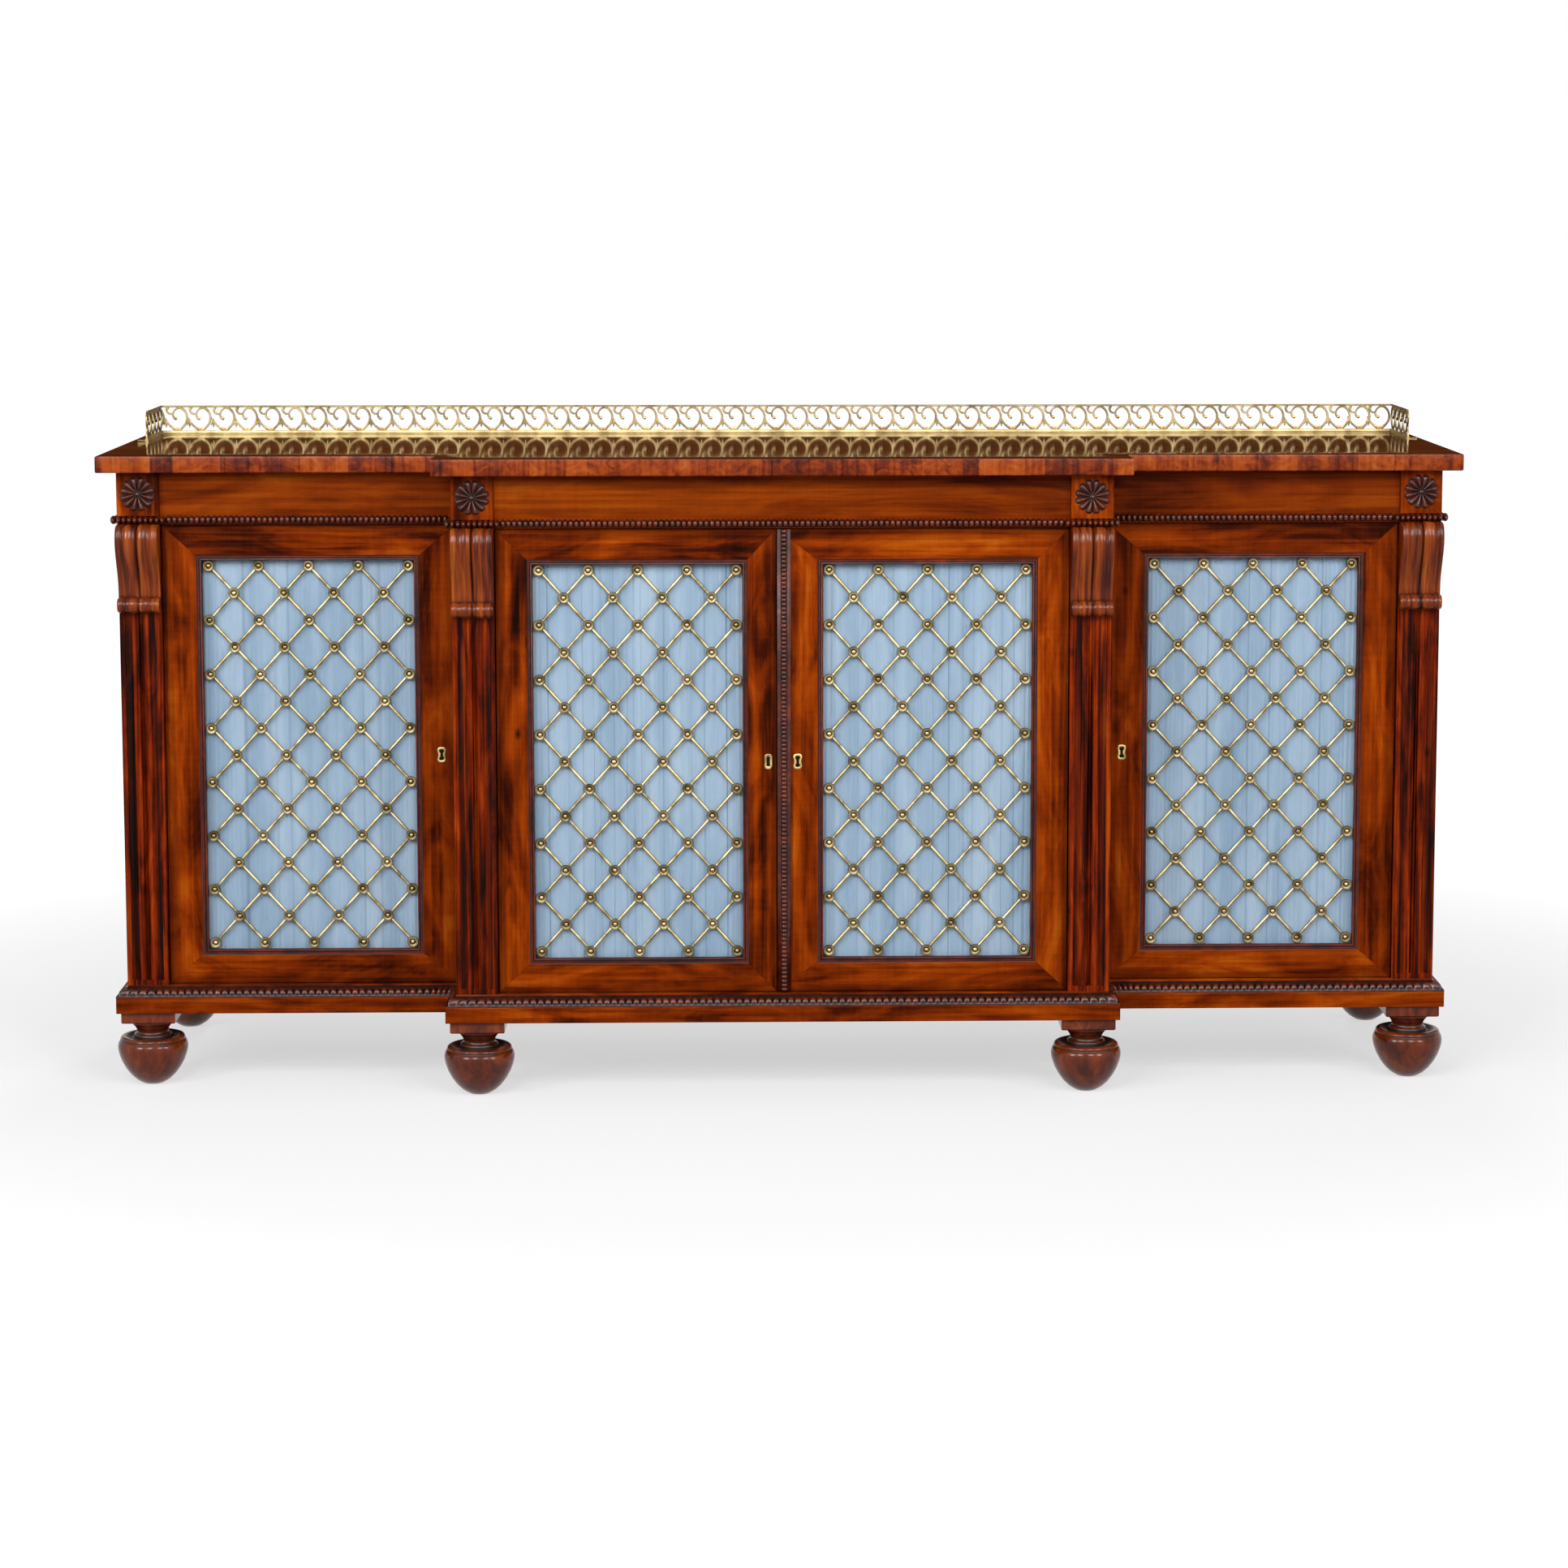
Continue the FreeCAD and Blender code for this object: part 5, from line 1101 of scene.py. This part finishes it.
# Lock case let into the back of the door: two plates and three blocks round the bolt's channel,
# which is open at the door's edge, and four screw heads.
def makeLock(door):
    frameLow, frameHigh = corner(door + "_frame")
    if door == "door_centre_left":
        low, high = corner(door + "_scutcheon")
        makeKeyhole(door, [door + "_scutcheon"], [(low[0] + high[0]) / 2, frameLow[1],
                                                  (low[2] + high[2]) / 2])
        return
    look = lock
    low, high = corner(door + "_lock")
    hinge = -1 if door == "door_left" else 1
    edge = frameHigh[0] if hinge < 0 else frameLow[0]
    keyIn = keyhole["centreIn" if door == "door_centre_right" else "wingIn"]
    makeKeyhole(door, [], [edge + keyIn * hinge, frameLow[1], (low[2] + high[2]) / 2])
    far, back = edge + look["long"] * hinge, frameHigh[1]
    boltLow, boltHigh = corner(door + "_bolt") + np.array([[-1], [1]]) * look["free"]
    case, end = sorted([edge, far]), sorted([edge + (boltHigh[0] - boltLow[0]) * hinge, far])
    tall, bolt = (low[2], high[2]), (boltLow[1], boltHigh[1])
    shells = [easedBox((x[0], y[0], z[0]), (x[1], y[1], z[1]), cut) for x, y, z, cut in (
        (case, (boltHigh[1], back), tall, look["eased"]),
        (case, (back - look["thick"], boltLow[1]), tall, look["eased"]),
        (case, bolt, (low[2], boltLow[2]), look["inside"]),
        (case, bolt, (boltHigh[2], high[2]), look["inside"]),
        (end, bolt, (boltLow[2], boltHigh[2]), look["inside"]))]
    head = facing(*look["head"][..., None], circle(look["points"]))
    shells += [solid(head + [case[0] + x * (case[1] - case[0]), back,
                             low[2] + z * (high[2] - low[2])]) for x, z in look["screws"]]
    makePiece(door + "_lock_case", shells, [lockIron], door, [door + "_lock"], 40)


astragal = {"pitch": 6.1 * mm, "bead": 10 * mm, "out": 5.0 * mm, "strip": 2.5 * mm,
            "valley": 0.35, "eased": 0.5 * mm, "sunk": 0.3 * mm}


# A flat strip with eased edges, and along its middle a string of close round beads: a half round
# section that swells and sinks with each bead.
def makeAstragal():
    look = astragal
    low, high = corner("astragal")
    front = high[1] - look["strip"]
    strip = easedBox((low[0], front, low[2]), high, look["eased"])
    beads = round((high[2] - low[2]) / look["pitch"])
    phase = np.append(beadPhases(beads), beads)
    z = low[2] + phase / beads * (high[2] - low[2])
    grow = beadRound(phase)[:, None] ** 0.8
    turn = np.radians(np.linspace(0, 180, 9))
    x = (low[0] + high[0]) / 2 + look["bead"] / 2 * np.cos(turn) * (0.7 + 0.3 * grow)
    y = front + look["sunk"] - look["out"] * np.sin(turn) * (
        look["valley"] + (1 - look["valley"]) * grow)
    # Painted shade in the valleys between beads.
    string = solid(spread(x, y, z[:, None]), np.clip(0.95 - 1.8 * grow, 0, 1))
    makePiece("astragal_beaded", [strip, string], [wood["beadedX"]], "door_centre_right",
              ["astragal"], 60)


for door in doors:
    makeMoulding(door)
    makeGrille(door)
    makeSilk(door)
    makeLock(door)
makeAstragal()
print("doors made")


# 1 where the eye sees a surface itself, in a reflection or through something.
def seenByEye(add):
    seen = add("LightPath", output="Is Camera Ray")
    for ray in ("Is Glossy Ray", "Is Transmission Ray"):
        seen = add("Math", [seen, add("LightPath", output=ray)], operation="MAXIMUM")
    return seen


# Matt pale paper. What the eye sees of it is lifted to white away from the cabinet by a glow
# that is weaker near it, which paints shade round the cabinet; its own grey keeps the soft
# shadow.
def paperMaterial():
    material, shader, add = newMaterial("paper_pale")
    away = add("VectorMath", [add("TexCoord", output="Object")], operation="LENGTH",
               output="Value")
    # Painted shade: the glow is weaker near the cabinet.
    lift = add("MapRange", [away, 0.9, 2.6, 0.60, 0.90], interpolation_type="SMOOTHSTEP")
    glow = add("Math", [seenByEye(add), lift], operation="MULTIPLY")
    setInputs(shader, {"Base Color": linear("#AEAEB0"), "Roughness": 0.9,
                       "Specular IOR Level": 0.0, "Emission Color": linear("#FFFFFF"),
                       "Emission Strength": glow})
    return material


# Painted reflection: a dark brown that glows the same in any light.
def paintedReflectionMaterial():
    material, shader, add = newMaterial("painted_reflection_brown")
    setInputs(shader, {"Base Color": linear("#000000"), "Specular IOR Level": 0.0,
                       "Emission Color": linear("#4C2A14"), "Emission Strength": 1.0})
    return material


# The wide floor lies under the feet. The dark sheet stands behind the cabinet, out of sight
# itself and seen only in reflections: a painted reflection, against which the polished top
# shows the gallery.
backdrop = {"floor": [(-40, -40, 0), (40, -40, 0), (40, 40, 0), (-40, 40, 0)],
            "painted_reflection_sheet": [(-2.4, 1.6, 0.75), (2.4, 1.6, 0.75), (2.4, 1.6, 1.9), (-2.4, 1.6, 1.9)],
            "hidden": ("camera", "diffuse", "shadow", "transmission")}


# One flat face through four corners.
def makeSheet(name, material):
    mesh = bpy.data.meshes.new(name)
    mesh.from_pydata(backdrop[name], [], [range(4)])
    mesh.materials.append(material)
    sheet = addObject(name, mesh)
    return sheet


def makeBackdrop():
    makeSheet("floor", paperMaterial())
    card = makeSheet("painted_reflection_sheet", paintedReflectionMaterial())
    # Hidden from all but reflections: a painted reflection on the polished top.
    for ray in backdrop["hidden"]:
        setattr(card, "visible_" + ray, False)


# Four tall soft boxes in a row in front and one behind: place and power of each. A twin of each
# one in front adds to the highlights on the polish and lights nothing.
lighting = {"room": 0.25, "size": (0.9, 1.7), "shine": 3.4, "target": (0, 0, 0.5),
            "boxes": [((-3.3, -3.2, 2.45), 58), ((-1.1, -3.2, 2.45), 42), ((1.1, -3.2, 2.45), 36),
                      ((3.3, -3.2, 2.45), 44), ((0.4, 4.6, 2.6), 60)]}


# The room: even soft light, and plain white where it is seen itself or in a reflection.
def makeRoom():
    world = bpy.data.worlds.new("room")
    bpy.context.scene.world = world
    world.use_nodes = True
    tree, room = world.node_tree, lighting["room"]
    add = partial(addNode, tree)
    strength = add("Math", [seenByEye(add), 1 - room, room], operation="MULTIPLY_ADD")
    setInputs(tree.nodes["Background"], {"Color": linear("#FFFFFF"), "Strength": strength})


def makeLights():
    for k, (place, power) in enumerate(lighting["boxes"]):
        way = Vector(lighting["target"]) - Vector(place)
        front = place[1] < 0
        twins = [("soft_box", power), ("shine_box", power * lighting["shine"])]
        for name, energy in twins if front else twins[:1]:
            data = bpy.data.lights.new(f"{name}_{k}", "AREA")
            data.shape = "RECTANGLE"
            data.size, data.size_y = lighting["size"]
            data.energy = energy
            light = addObject(f"{name}_{k}", data)
            light.location = place
            light.rotation_euler = way.to_track_quat("-Z", "Y").to_euler()
            light.visible_diffuse = name == "soft_box"
            light.visible_glossy = front    # the one behind would haze the polished top


# Where the camera stands, and its lens and shift from sizes in pixels of a square frame.
camera = {"spot": (-0.0552, -5.3952, 1.3008), "down": 6.6, "turn": -1.402, "roll": 0.005,
          "focal": 4500, "shift": (60, 216), "frame": 1932, "sensor": 36}


# The camera turns by "turn", looks down by "down" and leans by "roll", all in degrees.
def makeCamera():
    look = camera
    data = bpy.data.cameras.new("camera")
    data.sensor_width = look["sensor"]
    data.lens = look["focal"] / look["frame"] * look["sensor"]
    data.shift_x, data.shift_y = (-shift / look["frame"] for shift in look["shift"])
    data.clip_end = 200
    view = addObject("camera", data)
    view.matrix_world = (Matrix.Translation(look["spot"])
                         @ Matrix.Rotation(math.radians(look["turn"]), 4, "Z")
                         @ Matrix.Rotation(math.radians(90 - look["down"]), 4, "X")
                         @ Matrix.Rotation(math.radians(look["roll"]), 4, "Z"))
    bpy.context.scene.camera = view


makeBackdrop()
makeRoom()
makeLights()
makeCamera()
bpy.context.scene.view_settings.view_transform = "Standard"
print("floor, lights and camera set")
